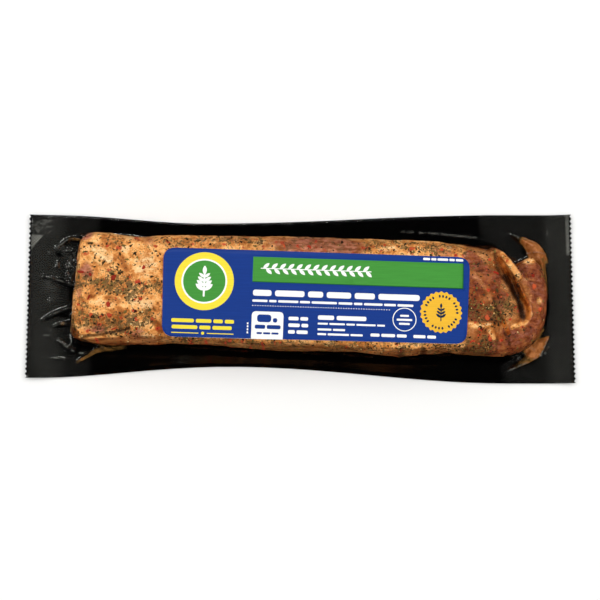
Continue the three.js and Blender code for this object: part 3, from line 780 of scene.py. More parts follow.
@dataclass(frozen=True)
class Waist:
    """How far a long edge of the pack draws in."""

    centre: float
    left: float
    right: float
    depth: float

    def at(self, x: np.ndarray) -> np.ndarray:
        """Draw-in at places along the pack.

        Args:
            x: the places.

        Returns:
            How far the edge has moved in, in millimetres.
        """
        reach = np.where(x < self.centre, self.left, self.right)
        share = np.minimum(1.0, np.abs(x - self.centre) / reach)
        return self.depth * (1.0 + np.cos(math.pi * share)) / 2.0


@dataclass(frozen=True)
class PackOutline:
    """Plan of the film web, cut straight at its ends and drawn in along its long edges."""

    length: float = 332.8
    width: float = 104.4
    far_waist: Waist = Waist(-58.0, 92.0, 180.0, 5.3)
    near_waist: Waist = Waist(-43.0, 125.0, 170.0, 10.2)
    near_left_pull: float = 3.2
    clear_inset: float = 1.6

    def far_edge(self, x: np.ndarray) -> np.ndarray:
        """The far long edge's y."""
        return self.width / 2 - self.far_waist.at(x)

    def near_edge(self, x: np.ndarray) -> np.ndarray:
        """The near long edge's y.

        Args:
            x: places along the pack.

        Returns:
            The y at each of them.
        """
        pull = np.where(x < self.near_waist.centre, self.near_left_pull, 0.0)
        draw = self.near_waist.at(x) * (self.near_waist.depth - pull) / self.near_waist.depth
        return -self.width / 2 + pull + draw


@dataclass
class BackingWeb:
    """The black film under the meat, with pinked ends.

    Its slack ripples sink by at most the given share of the film's height, so none goes
    through the ground.
    """

    ripple: float = 0.12
    ripple_size: float = 17.0
    sink_share: float = 0.6
    long_edge: float = 5.0
    sharp_turn: float = math.radians(40)

    def build(self) -> Object:
        """Copies the solid, gives it slack ripples and dresses it.

        Returns:
            The backing.
        """
        shape = cad_copy("backing_film")
        long_edges = [e for e in shape.edges if e.calc_length() > self.long_edge * MM]
        bmesh.ops.subdivide_edges(shape, edges=long_edges, cuts=1, use_grid_fill=True)
        bmesh.ops.triangulate(shape, faces=shape.faces)
        piece = object_from_bmesh("black_backing_web", shape, BlackBarrierFilm().material())
        places, _ = vertex_arrays(piece.data)
        in_plan = places * (1.0, 1.0, 0.0)
        sunk = self.ripple * (1.0 + lumps(in_plan, self.ripple_size, 5))
        places[:, 2] -= np.minimum(sunk, self.sink_share * places[:, 2])
        move_vertices(piece.data, places)
        piece.data.set_sharp_from_angle(angle=self.sharp_turn)
        dress(piece, Slot.BACKING, "backing_film")
        return piece


@dataclass
class DrapedFilm:
    """The clear film: sealed flat round the meat, drawn over it and gathered in ears and wrinkles.

    A juice run is its reach, then places with how brown the film is there. A crease is its width,
    its rise and its path. Hollows are painted shade: they mirror nothing and lose the margin's
    grey. Pebbles are pressed into small dimples. The peel corner is cut off by a slope through its
    tip. The painted sheen at each end of the pack starts at an x that leans with y. All of it is in
    the pack's frame.
    """

    outline: PackOutline = field(default_factory=PackOutline)
    voxel: float = 0.9
    stand_off: float = 0.16
    push_reach: float = 4.0
    thickness: float = 0.07
    slab_depth: float = 8.0
    slab_rise: float = 0.36
    underside: float = -2.0
    gathered_left: float = -127.0
    gathered_right: Point = (127.0, 152.0)
    reach: float = 3.0
    clings_within: float = 0.6
    most_faces: int = 92000
    edge_cells: float = 0.6
    corner_cells: float = 1.6
    slack_size: float = 7.0
    slack_rise: float = 0.06
    small_folds: int = 46
    fold_x: Point = (-157.0, -139.0)
    fold_y: Point = (-38.0, 36.0)
    fold_half_length: Point = (1.5, 4.5)
    fold_rise: Point = (-0.3, 0.35)
    fold_width: Point = (0.4, 0.8)
    fan_centre: float = -96.0
    crest_width: float = 0.42
    peel_end: float = -165.4
    peel_top: float = 39.9
    peel_tip: Point = (-158.0, 38.8)
    peel_slope: float = 0.76
    frost_start: float = -150.5
    frost_y: Point = (40.0, 50.2)
    strip_corner: Point = (162.4, 26.0)
    sheen_left: Point = (-123.0, 0.04)
    sheen_right: Point = (114.0, -0.137)
    lifted_from: Point = (-140.0, 147.0)
    juice_runs: tuple = (
        (3.0, ((128, 40.7), 0.04), ((133, 38), 0.13), ((136.2, 35.6), 0.2), ((138.2, 34.6), 0.44)),
        (4.8, ((139.4, 33.8), 0.56), ((141.6, 32.2), 0.7), ((144.8, 28), 0.72)),
        (5.0, ((144.8, 28), 0.7), ((146.6, 22), 0.56), ((148, 15), 0.44), ((149.2, 8), 0.34)),
        (2.4, ((149.2, 8), 0.34), ((149.8, 2), 0.1)),
        (4.6, ((150.8, -23.2), 0.5), ((147, -26.6), 0.6), ((143.2, -30), 0.7), ((141, -32.4), 0.74)),
        (2.4, ((143.4, -33.6), 0.72), ((140.6, -35.4), 0.62), ((138, -38), 0.4), ((127, -44), 0.1)),
        (2.0, ((-107.6, -29.6), 0.24), ((-113.5, -30.8), 0.34), ((-119.5, -31.5), 0.36)),
        (1.3, ((-119.5, -31.5), 0.34), ((-124.4, -32.8), 0.4), ((-128.4, -35.3), 0.42)),
        (1.1, ((-128.4, -35.3), 0.42), ((-132.4, -37.7), 0.42), ((-136.6, -39.7), 0.38)),
        (0.9, ((-136.2, -39.9), 0.3), ((-131, -42), 0.1)),
        (0.8, ((-133.6, 35.8), 0.4), ((-138, 36.9), 0.36), ((-141.6, 37.1), 0.2)),
        (1.0, ((-146.5, -15.9), 0.1), ((-144.4, -15.6), 0.34), ((-142, -15.5), 0.1)),
    )
    creases: tuple = (
        (0.7, 0.4, (-141.7, 37.3), (-145.6, 34.4), (-149.9, 31.6)),
        (0.6, 0.5, (-148.8, 22.6), (-148.2, 19)),
        (0.6, 0.5, (-142.4, 20), (-139.2, 20.2), (-137.4, 18.2), (-139, 15.4), (-140, 11.6)),
        (0.6, 0.9, (-142.6, 16.6), (-141.8, 14.6)),
        (0.7, 1.2, (-156.6, 14.1), (-152.9, 12.9), (-151.2, 12.5)),
        (0.7, 0.7, (-151.2, 12.5), (-148.6, 11.8), (-143.5, 9.8), (-138, 8.4)),
        (0.7, 0.7, (-157.4, -13.4), (-151, -10.2)),
        (0.7, 1.0, (-152.2, -10.8), (-146.1, -8), (-138.6, -5.6)),
        (0.7, 0.8, (-149.7, -17.1), (-145.2, -15.7), (-138.8, -15.4)),
        (0.6, 0.8, (-146.6, -25.2), (-144.2, -28.2), (-140.2, -31.2), (-136.2, -33), (-131.4, -33.8)),
        (0.6, 0.9, (-149.8, -36.6), (-143.1, -37.3)),
        (0.5, 0.4, (-153.7, -18.2), (-151.2, -20.2)),
        (0.5, 0.4, (-155.6, -22.8), (-152.6, -22.8)),
        (0.5, 0.4, (-143, 16.4), (-141.6, 13.4)),
        (0.5, 0.4, (-154.6, 29.8), (-153.6, 28.4)),
        (0.5, 0.4, (-138.4, -26.6), (-140, -28.6)),
        (0.6, 0.3, (128, 40.7), (134, 38.4)),
        (0.6, 0.9, (135.6, 37.7), (138.2, 37)),
        (0.6, 0.4, (138.2, 37), (145, 34), (148.4, 31)),
        (0.6, 0.7, (138.9, 28), (150.1, 27.5)),
        (0.6, 0.5, (136.6, -28.8), (141, -31.6), (145.8, -35.2)),
        (0.5, 0.5, (126, -44.5), (136, -40.2), (145.8, -35.2), (150.8, -23.2)),
        (0.6, 0.8, (148.4, -33.8), (150.6, -30.2)),
        (0.8, 0.35, (61, 41.8), (85, 40.6), (110, 37.8)),
        (0.8, 0.3, (150, 47), (151.6, 42), (151.2, 36)),
    )
    # Painted shade: dark lines beside the creases, where the film mirrors nothing and loses the margin's
    # grey.
    shaded_hollows: tuple = (
        Bed(((-148.6, 28.1), (-147, 27)), 1.3),
        Bed(((-142.6, 35.4), (-146.4, 33)), 0.8),
        Bed(((-146.4, 12.5), (-142.6, 11), (-138.4, 9.6)), 0.9),
        Bed(((-139.4, 0.6), (-139.6, 6)), 1.5),
        Bed(((-138, -8), (-138.4, -4)), 1.2),
        Bed(((-146.2, -10.2), (-141.6, -10.6)), 1.1),
        Bed(((-135.1, -31.8), (-134.4, -32)), 1.6),
        Bed(((-133, -29), (-126.9, -28.6)), 1.6),
        Bed(((137, 30), (138.6, 28.1)), 1.5),
        Bed(((137.2, -30.2), (138.2, -33.8), (134.6, -37.6), (130.8, -40.8)), 1.7),
        Bed(((60, 39.4), (87, 38.2), (102.9, 35.6), (112.8, 33.6), (118.4, 32)), 2.2),
    )
    pebbles: tuple = (
        Patch(-140.5, 26, 4, 7, fades_at=1.5),
        Patch(-144.6, 31.5, 4, 2.4, fades_at=1.5),
        Patch(133, -34.6, 5.5, 3.6, fades_at=1.5),
        Patch(-153, 5, 3, 8, fades_at=1.5),
    )

    def slab(self) -> BMesh:
        """The backing made thick downwards, so that the skin over it has no underside near it.

        Returns:
            The thick backing.
        """
        slab = cad_copy("backing_film")
        low = {v for f in slab.faces if f.normal.z < -0.5 for v in f.verts}
        for vertex in slab.verts:
            vertex.co.z += (-self.slab_depth if vertex in low else self.slab_rise) * MM
        return slab

    def skin(self, meat: Object) -> Object:
        """One even skin over the backing, the clear film's folds and the meat.

        Args:
            meat: the finished meat.

        Returns:
            The skin.
        """
        whole = bmesh.new()
        for part in (self.slab(), cad_copy("clear_film")):
            mesh = bpy.data.meshes.new("film_form")
            part.to_mesh(mesh)
            part.free()
            whole.from_mesh(mesh)
            bpy.data.meshes.remove(mesh)
        whole.from_mesh(meat.data)
        piece = object_from_bmesh("draped_clear_film", whole, ClearBarrierFilm().material())
        voxel_skin(piece, self.voxel, 2)
        return piece

    def gathered(self, x: float) -> bool:
        """True at the ends of the pack, where the film has small folds."""
        return x < self.gathered_left or self.gathered_right[0] < x < self.gathered_right[1]

    def free_height(self, piece: Object, meat: Object) -> np.ndarray:
        """How far the film is from the meat at each vertex, up to its reach.

        Args:
            piece: the film.
            meat: the finished meat.

        Returns:
            The distances in millimetres.
        """
        places, _ = vertex_arrays(piece.data)
        search = tree_of(meat.data)
        gaps = (search.find_nearest(Vector(place) * MM, self.reach * MM)[3] for place in places)
        return np.array([self.reach if gap is None else gap / MM for gap in gaps])

    def thin_out(self, piece: Object, meat: Object) -> None:
        """Thins the film's mesh where it clings to the meat.

        Args:
            piece: the film.
            meat: the finished meat.
        """
        clinging = piece.vertex_groups.new(name="clinging")
        spots = np.flatnonzero(self.free_height(piece, meat) < self.clings_within)
        clinging.add(spots.tolist(), 1.0, "REPLACE")
        thin = piece.modifiers.new("thin_out", "DECIMATE")
        thin.vertex_group = clinging.name
        thin.ratio = min(1.0, self.most_faces / (2 * len(piece.data.polygons)))
        apply_modifiers(piece)
        piece.vertex_groups.clear()

    def trim(self, piece: Object) -> None:
        """Keeps the top of the skin and cuts it to the film's outline.

        Args:
            piece: the film.
        """
        end = self.outline.length / 2 - self.outline.clear_inset
        shape = bmesh.new()
        shape.from_mesh(piece.data)
        waste = []
        for face in shape.faces:
            middle = face.calc_center_median() / MM
            x = np.array(middle.x)
            inside = min(
                end - abs(middle.x),
                float(self.outline.far_edge(x)) - middle.y,
                middle.y - float(self.outline.near_edge(x)),
            )
            if middle.z < self.underside or inside < self.edge_cells * self.voxel:
                waste.append(face)
        bmesh.ops.delete(shape, geom=waste, context="FACES")
        edges = [e for e in shape.edges if all(self.gathered(v.co.x / MM) for v in e.verts)]
        bmesh.ops.subdivide_edges(shape, edges=edges, cuts=1, use_grid_fill=True)
        for vertex in shape.verts:
            if not vertex.is_boundary:
                continue
            x, y = vertex.co.x / MM, vertex.co.y / MM
            far = float(self.outline.far_edge(np.array(x)))
            near = float(self.outline.near_edge(np.array(x)))
            edge = far if y > 0 else near
            from_end, from_side = end - abs(x), abs(edge - y)
            corner = max(from_end, from_side) < self.corner_cells * self.voxel
            if from_end < from_side or corner:
                vertex.co.x = math.copysign(end, x) * MM
            if from_side <= from_end or corner:
                vertex.co.y = edge * MM
        shape.to_mesh(piece.data)
        shape.free()

    def clear_of(self, piece: Object, meat: Object) -> None:
        """Pushes the film out of the meat to its stand-off.

        Args:
            piece: the film.
            meat: the finished meat.
        """
        search = tree_of(meat.data)
        places, _ = vertex_arrays(piece.data)
        for k, place in enumerate(places):
            spot, normal, *_ = search.find_nearest(Vector(place) * MM, self.push_reach * MM)
            if spot is None:
                continue
            outside = (Vector(place) * MM - spot).dot(normal)
            if outside < self.stand_off * MM:
                places[k] = np.array(spot + normal * self.stand_off * MM) / MM
        move_vertices(piece.data, places)

    def crinkle(self, piece: Object) -> None:
        """Slack in the film: sharp creases at its gathered ends and low ripples on the margin.

        Args:
            piece: the film.
        """
        places, normals = vertex_arrays(piece.data)
        margin = smooth((4.5 - places[:, 2]) / 3.0)
        height = margin * lumps(places, self.slack_size, 12) * self.slack_rise
        for width, rise, *path in self.creases:
            height += rise * np.exp(-distance_to_path(places, tuple(path)) / width)
        random = np.random.default_rng(5)
        gathered = smooth((-126.0 - places[:, 0]) / 10.0) * smooth((places[:, 0] + 161.0) / 5.0) * margin
        for _ in range(self.small_folds):
            x, y = random.uniform(*self.fold_x), random.uniform(*self.fold_y)
            aim = math.atan2(y * 0.9, self.fan_centre - x) + random.uniform(-0.5, 0.5)
            half = random.uniform(*self.fold_half_length)
            step = (half * math.cos(aim), half * math.sin(aim))
            path = ((x - step[0], y + step[1]), (x + step[0], y - step[1]))
            rise = random.uniform(*self.fold_rise)
            fall = np.exp(-distance_to_path(places, path) / random.uniform(*self.fold_width))
            height += gathered * rise * fall
        move_vertices(piece.data, places + normals * height[:, None])

    def juice(self, places: np.ndarray) -> np.ndarray:
        """How brown the marinade makes each place, if the film stands off there.

        Args:
            places: rows of x, y, z in millimetres.

        Returns:
            A value for each place.
        """
        most = np.zeros(len(places))
        for reach, *run in self.juice_runs:
            for (start, low), (end, high) in zip(run, run[1:]):
                share, gap = nearest_on_step(places, start, end)
                brown = (low + (high - low) * share) * smooth(2.2 - 1.4 * gap / reach)
                most = np.maximum(most, brown)
        return most

    def crest_glints(self, places: np.ndarray) -> np.ndarray:
        """Broken pale lines along the tops of the creases: painted glints, with some whitening of the
        stretched film.

        Args:
            places: rows of x, y, z in millimetres.

        Returns:
            A value for each place.
        """
        crest = np.zeros(len(places))
        for _, height, *path in self.creases:
            away = distance_to_path(places, tuple(path)) / self.crest_width
            crest = np.maximum(crest, height * np.exp(-(away**2)))
        return crest * smooth((lumps(places, 1.5, 23) + 0.35) / 0.7)

    def corners(self, places: np.ndarray, frost: np.ndarray) -> np.ndarray:
        """How milky the peel corner, the frosted corner and the strip at the right end are.

        Args:
            places: rows of x, y, z in millimetres.
            frost: a fine broken pattern there.

        Returns:
            A value for each place.
        """
        x, y = places[:, 0], places[:, 1]
        slope = (self.peel_tip[0] - x) - self.peel_slope * (self.peel_tip[1] - y)
        inside = np.minimum(x - self.peel_end, slope)
        peel = smooth(inside / 0.5) * smooth((self.peel_top - y) / 0.8)
        low, high = self.frost_y
        patch = smooth((self.frost_start - x) / 4.0) * frost
        patch *= smooth((y - low) / 1.5) * smooth((high - y) / 1.5)
        strip = smooth((x - self.strip_corner[0]) / 0.5) * smooth((y - self.strip_corner[1]) / 3.0)
        return 0.44 * peel + 0.2 * patch + 0.5 * strip * (0.65 + 0.35 * frost)

    def sheen(self, places: np.ndarray, normals: np.ndarray) -> np.ndarray:
        """Painted sheen: a faint grey on the level film at both ends of the pack, standing in for its
        reflection of the lamps, stronger where the ends lift.

        Args:
            places: rows of x, y, z in millimetres.
            normals: normals there.

        Returns:
            A value for each place.
        """
        x, y = places[:, 0], places[:, 1]
        left, right = (start + lean * y for start, lean in (self.sheen_left, self.sheen_right))
        sealed = np.maximum(smooth((left - x) / 6.0), smooth((x - right) / 6.0))
        left_end, right_end = self.lifted_from
        lifted = np.maximum(smooth((left_end - x) / 10.0), smooth((x - right_end) / 7.0))
        return (0.016 + 0.03 * lifted) * sealed * smooth((normals[:, 2] - 0.9) / 0.07)

    def colour(self, piece: Object, meat: Object) -> None:
        """Marks where marinade has run into the folds and where the seal is milky or pebbled, and paints the
        sheen of the level margin, glints on the crests and shade in the hollows.

        Args:
            piece: the film.
            meat: the finished meat.
        """
        places, normals = vertex_arrays(piece.data)
        free = self.free_height(piece, meat)
        off_meat = smooth((free - 0.45) / 0.7)
        hollow_shade = strongest(self.shaded_hollows, places)
        pebble = strongest(self.pebbles, places)
        frost = smooth((lumps(places, 1.0, 21) + 0.1) / 0.6)
        # Painted glints along the crests, and frost in the pebbled patches.
        glints_and_frost = 0.85 * self.crest_glints(places) + 0.09 * pebble * frost
        # Painted sheen, taken away in the hollows as painted shade, and the milky corners.
        haze = self.sheen(places, normals) * (1.0 - hollow_shade) + self.corners(places, frost)
        haze += glints_and_frost * smooth((free - 0.5) / 0.6)
        amounts = {
            "juice": self.juice(places) * smooth((places[:, 2] - 0.8) / 1.4) * off_meat,
            # The film mirrors less where it clings to the meat and in the painted shade of the hollows.
            "slack": smooth((free - 0.5) / 1.2) * (1.0 - hollow_shade),
            "seal": smooth((3.2 - places[:, 2]) / 1.2),
            "pebble": pebble * off_meat,
            "haze": np.clip(haze, 0.0, 1.0),
        }
        for name, values in amounts.items():
            paint(piece.data, name, values)

    def build(self, meat: Object) -> Object:
        """Drapes, trims, crinkles and dresses the film.

        Args:
            meat: the finished meat that the film lies on.

        Returns:
            The film.
        """
        piece = self.skin(meat)
        self.trim(piece)
        self.clear_of(piece, meat)
        self.crinkle(piece)
        self.thin_out(piece, meat)
        self.colour(piece, meat)
        shell = piece.modifiers.new("shell", "SOLIDIFY")
        shell.thickness = self.thickness * MM
        shell.offset = -1.0
        apply_modifiers(piece)
        dress(piece, Slot.FILM, "clear_film")
        return piece


# The meat and its rub


@dataclass
class RubMap:
    """Where the meat is pale, lean, brown or thick with rub. Places are in the meat's frame.

    A chilli spot is its place and its size. The pale bands, the brown and the creases also carry painted
    highlights and shade.
    """

    # Pale fat and silverskin. The bands that rise along rolls and rims at the right end are painted
    # highlights.
    cream: tuple = (
        Bed(((-123.7, 21.4), (-119.4, 18.4), (-115, 15.2)), 3.0),
        Patch(-105.2, 21.4, 3.4, 2.6, 0.9),
        Patch(-93, 12, 9, 9, 0.75),
        Patch(-93.5, -11.2, 8, 4.4, 0.9),
        Bed(((-119, -11.6), (-112.8, -13.2)), 2.6, 0.7),
        Patch(-131, 20, 4, 4, 0.5),
        Patch(-103, 29, 7, 2.4, 0.6),
        Patch(-134, -14, 2, 8, 0.6),
        Patch(-89, -31, 6, 2.4, 0.6),
        Patch(-60, 28, 9, 2, 0.5),
        Patch(52, 27, 8, 2.4, 0.8),
        Patch(88, 29, 6, 2, 0.6),
        Bed(((101.2, -17.3), (106, -18.6), (109.9, -17.6), (113.7, -16.7)), 1.4, 1.0, 0.5),
        Bed(((114.1, -21.1), (115.3, -25.2)), 1.9, 0.8, 0.5),
        Bed(((126.6, -18.1), (129, -16.2), (132, -14.9)), 1.1, 0.95, 0.5),
        Bed(((120.4, 25.8), (124.5, 21.1), (128.1, 17), (131.1, 13.5)), 2.2, 0.7, 0.37),
        Bed(((101.2, 14.3), (107.5, 8.5), (110.9, 3.7), (113.7, -1.5), (116.3, -8.7)), 1.5, 0.36, 0.46),
        Bed(((132.9, 12.8), (139.8, 11.9)), 0.9, 0.5, 0.25),
        Bed(((138, 2.4), (137.8, -6.3), (138.1, -8.7)), 0.9, 0.3, 0.19),
        Bed(((138.1, -8.7), (135.5, -13), (133.8, -15.2)), 1.1, 0.7, 0.4),
        Patch(136.9, 25.4, 4.4, 3.2),
        Patch(143.2, -0.6, 1.8, 2.6, 0.9),
        Patch(140.6, -22.5, 2, 3, 0.6),
    )
    lean: tuple = (
        Patch(-130, 29.8, 4.4, 3.6),
        Patch(-127.8, 7.1, 4.2, 6),
        Patch(-132, -4, 2.6, 6, 0.7),
        Patch(-119, -28, 9, 2.8, 0.9),
        Patch(-96, -30, 7, 2.6, 0.8),
        Patch(-92, 27, 5, 4, 0.6),
        Patch(10, 26.5, 33, 10, 0.9),
        Patch(-40, 30, 14, 4, 0.5),
        Patch(84, 27, 8, 5, 0.7),
        Bed(((99.5, 25.5), (103.8, 20.7), (108.6, 17.8)), 3.0, 1.0, 0.4),
        Patch(113.6, 10, 6, 6.4, 1.1),
        Patch(104, 6, 6, 9, 0.9),
        Patch(107, -9, 9, 7, 0.8),
        Patch(118.5, -3, 6, 7, 0.7),
        Patch(115.7, -30, 6, 3.6),
        Patch(127.5, -24, 7, 7),
        Bed(((134.5, 19.6), (141.1, 16.7), (144.2, 10.7), (144, -6), (140, -19)), 7.0, 0.9),
    )
    amber: tuple = (
        Bed(((118.4, 23), (122.4, 16.6), (125.8, 11.3)), 2.4, 0.9, -0.27),
        Bed(((-138, -23), (-136.6, -28.6), (-132, -31.6)), 1.7, 1.0),
        Bed(((128, 10.8), (131.6, 4.1), (135.3, -1.8), (136.8, -6.7), (136, -11.6)), 1.7, 0.9),
        Bed(((129.5, 22.7), (132.5, 25.3)), 2.2, 0.9),
        Bed(((117.5, 26.3), (120.6, 21.5)), 1.6, 0.5),
        Bed(((121, -14), (124.5, -21.1)), 1.5, 1.0, 0.4),
        Bed(((134.6, 14.8), (138.8, 14)), 1.8, 0.6),
        Bed(((116, -22), (121, -24.5)), 2.4, 0.6),
        Bed(((-134, -27.6), (-131.6, -30.4)), 1.6, 1.0, -0.4),
        Bed(((-127.6, 24.6), (-119.5, 23)), 1.6, 0.6),
        Bed(((-107.2, 16.6), (-103.6, 9)), 2.4, 0.55),
        Bed(((-113.5, -9), (-107.5, -11)), 2.4, 0.6),
        Bed(((-86, -22), (-82, -27)), 2.6, 0.8),
        Bed(((-84, -33.6), (-40, -35)), 1.6, 0.8),
    )
    beds: tuple = (
        Bed(((-130, 0.6), (-119.4, -2.5), (-107.4, -2.1), (-95.5, -3), (-85, -1.4)), 4.6, 0.95),
        Bed(((-112.7, 6.8), (-102.9, 2.3)), 3.0, 0.8),
        Bed(((-132, -22), (-124.4, -20.7), (-113.4, -26.4), (-103.5, -23.6), (-91.2, -19.6)), 5.6),
        Bed(((-130.5, -10), (-126.5, -17)), 2.6, 0.8),
        Bed(((-103.5, -8.8), (-96, -7.8)), 2.4, 0.8),
        Bed(((-120, 27.6), (-108, 26)), 1.8, 0.6),
        Bed(((-80, 27), (-50, 28), (-25, 30)), 3.5, 0.55),
        Bed(((40, 29), (70, 28), (98, 28)), 4.0, 0.65),
        Bed(((98, -8), (108, -11), (118, -8), (125, -5)), 6.0, 0.95),
        Bed(((97, -26), (104, -29), (113, -29)), 4.4, 0.85),
        Bed(((103, 19), (112, 22), (116, 17)), 2.4, 0.55),
        Bed(((-80, -32), (0, -33), (98, -31)), 3.5, 0.6),
    )
    stains: tuple = (
        Patch(-113, -23.5, 22, 7, 0.5),
        Patch(-104, 0.5, 16, 4.5, 0.3),
        Patch(108, -3, 10, 12, 0.3),
        Patch(108, -27, 9, 5, 0.3),
    )
    # Dark folds: dark juice in them and painted shade. A rise sinks some of them into the surface.
    creases: tuple = (
        Bed(((-137.4, -24.6), (-135.8, -29), (-131.5, -31.4)), 1.3, 0.6),
        Bed(((26, -35.5), (31, -37.2), (36, -35.8)), 0.9, 0.6, -0.5),
        Bed(((60, -34.2), (66, -36.8), (71, -37.4)), 1.0, 0.7, -0.6),
        Bed(((74, -33.6), (77, -36.6)), 1.6, 0.7, -0.6),
        Bed(((-66, -33.8), (-61, -35.4), (-56, -34.6)), 1.0, 0.6, -0.5),
        Bed(((-8, -35), (-2, -36.6)), 0.9, 0.5, -0.4),
        Bed(((-30, -35), (-24, -36.4)), 0.9, 0.5, -0.4),
        Bed(((122.6, 12.8), (126.4, 7.4), (129.2, 1.4)), 2.7, 1.0),
        Bed(((129.2, 1.4), (131.6, -3.4), (133.2, -10.4)), 2.0, 1.0),
        Bed(((115.7, 26.3), (117.1, 19.6), (119.2, 14.5), (124, 9.6)), 0.9, 0.6, -0.6),
        Bed(((118.2, 20.6), (122.2, 14.4)), 1.5, 0.4),
        Bed(((115.2, -1), (117.3, -6.8), (119.1, -11.3), (121.5, -13.9)), 0.8, 0.7, -0.7),
        Bed(((122.4, -21.2), (123.9, -24.2), (125.6, -28.1)), 0.8, 0.6, -0.6),
        Bed(((117.8, -24.2), (118.5, -31.6)), 0.7, 0.4, -0.4),
        Bed(((105.4, 15.6), (109.5, 15.8)), 0.7, 0.5, -0.3),
        Bed(((110.4, -12.7), (115.8, -15)), 1.0, 0.5, -0.4),
        Bed(
            ((-101, -26.6), (-104.2, -27.4), (-114.3, -30.4), (-121.5, -31.7), (-129, -32.4)), 0.8, 0.8, -1.0
        ),
        Bed(((-129, -32.4), (-133.4, -28.4)), 0.8, 0.5, -0.8),
        Bed(((-124, 13.6), (-117.6, 10.4), (-112.6, 12.6)), 0.7, 0.3, -0.5),
        Bed(((100.4, -30.6), (96.6, -34.6)), 0.8, 0.6, -0.6),
    )
    chilli_spots: tuple = (
        (-128.7, 18.3, 4.2), (-109.6, 22.2, 4.0), (-97.4, 27.5, 3.0), (-93.6, 21.0, 1.6),
        (-114.2, 8.6, 2.0), (-101.4, 4.1, 3.0), (-96.9, 1.4, 4.0), (-91.9, 0.7, 3.0),
        (-131.5, -8.4, 2.0), (-131.4, -13.2, 2.0), (-128.5, -15.5, 2.4), (-117.2, -19.6, 4.0),
        (-118.5, -24.4, 3.6), (-98.8, -16.1, 3.0), (-96.3, -21.0, 4.0), (-105.6, -20.9, 3.0),
        (-87.0, -20.7, 3.0), (-83.5, -26.2, 3.4), (-125.1, -28.9, 3.4), (-120.3, -33.2, 3.0),
        (-102.1, -29.5, 2.4), (100.7, 27.2, 2.6), (123.0, 22.8, 3.4), (115.6, 21.3, 2.0),
        (130.6, 18.1, 2.6), (102.9, 5.8, 2.4), (112.0, 3.4, 4.0), (123.7, 1.8, 2.2),
        (119.8, -0.5, 2.2), (129.1, -4.8, 2.6), (130.6, -7.8, 2.6), (125.2, -13.3, 3.2),
        (107.6, -20.0, 3.6), (106.6, -23.3, 3.0), (103.8, -26.9, 3.0), (104.6, -16.4, 2.4),
        (132.8, -17.1, 2.6), (120.1, -25.8, 3.0), (-22.8, 25.6, 2.4), (39.1, 27.1, 3.0),
    )
    bed_chillies: int = 46
    strip_chillies: int = 26
    strip_x: Point = (-82.0, 98.0)
    strips_y: tuple = ((23.5, 30.5), (-37.0, -30.5))
    right_end: float = 94.0
    tail: float = 130.0

    def chilli(self, flat: np.ndarray) -> np.ndarray:
        """Soft red spots where chilli flakes lie under the film.

        Args:
            flat: places in the meat's frame, without their height.

        Returns:
            A value for each place.
        """
        frayed = flat + 1.1 * drift(flat, 1.8, 61)
        random = np.random.default_rng(77)
        spots = [*self.chilli_spots]
        for _ in range(self.bed_chillies):
            path = self.beds[random.integers(len(self.beds))].path
            leg = random.integers(len(path) - 1)
            share = random.random()
            middle = np.array(path[leg]) * (1 - share) + np.array(path[leg + 1]) * share
            spots.append((*(middle + random.normal(0, 3.0, 2)), random.uniform(1.2, 2.4)))
        for strip_y in self.strips_y:
            for _ in range(self.strip_chillies):
                place = (random.uniform(*self.strip_x), random.uniform(*strip_y))
                spots.append((*place, random.uniform(1.8, 3.4)))
        red = np.zeros(len(flat))
        for x, y, size in spots:
            near = np.abs(flat[:, 0] - x) < size
            red[near] = np.maximum(red[near], Patch(x, y, 0.44 * size, 0.36 * size).at(frayed[near]))
        return red

    def relief(self, places: np.ndarray) -> np.ndarray:
        """How far folds stand out of the meat or sink into it, in millimetres.

        Args:
            places: places in the meat's frame.

        Returns:
            A height for each place.
        """
        rise = np.zeros(len(places))
        for band in (*self.cream, *self.lean, *self.amber, *self.creases):
            if isinstance(band, Bed) and band.rise:
                rise += band.rise / band.strength * band.at(places)
        return rise

    def masks(self, places: np.ndarray, normals: np.ndarray) -> dict[str, np.ndarray]:
        """The amounts that the meat's material reads.

        Args:
            places: places in the meat's frame.
            normals: normals there.

        Returns:
            An array of values from 0 to 1 for each name.
        """
        flat = places * (1.0, 1.0, 0.0)
        wander = drift(flat, 6.0, 31)
        warped = flat + 1.6 * wander
        nudged = flat + 0.5 * wander
        cream, lean = strongest(self.cream, nudged), strongest(self.lean, warped)
        loose = smooth(0.5 + 0.9 * lumps(flat, 7.0, 33))
        steep = smooth((0.75 - normals[:, 2]) / 0.6)
        near = smooth(-normals[:, 1] / 0.8) * steep
        low = smooth((17.0 - places[:, 2]) / 14.0)
        right = smooth((places[:, 0] - self.right_end) / 8.0)
        tail = smooth((places[:, 0] - self.tail) / 6.0)
        pale = np.clip(cream, 0.0, 1.0)
        herb = np.clip(0.86 * strongest(self.beds, warped) + 0.3 * loose + 0.14, 0.0, 1.15)
        # Brown: the meat's darker tone towards the right end, and painted shade on steep walls, on walls
        # facing the near side and low down.
        brown = 0.7 * right * (1.0 - pale) + 0.3 * steep + 0.42 * near + 0.75 * low
        return {
            "cream": cream * (1.0 - 0.4 * right),
            "lean": np.clip(lean + 0.3 * right, 0.0, 1.1) * (1.0 - 0.8 * pale),
            "brown": np.clip(brown + strongest(self.stains, warped), 0.0, 1.15),
            "amber": strongest(self.amber, nudged),
            "herb": herb * (1.0 - 0.45 * pale) * (1.0 - 0.5 * tail),
            "chilli": self.chilli(flat),
            "crease": np.clip(strongest(self.creases, nudged), 0.0, 0.94),
        }

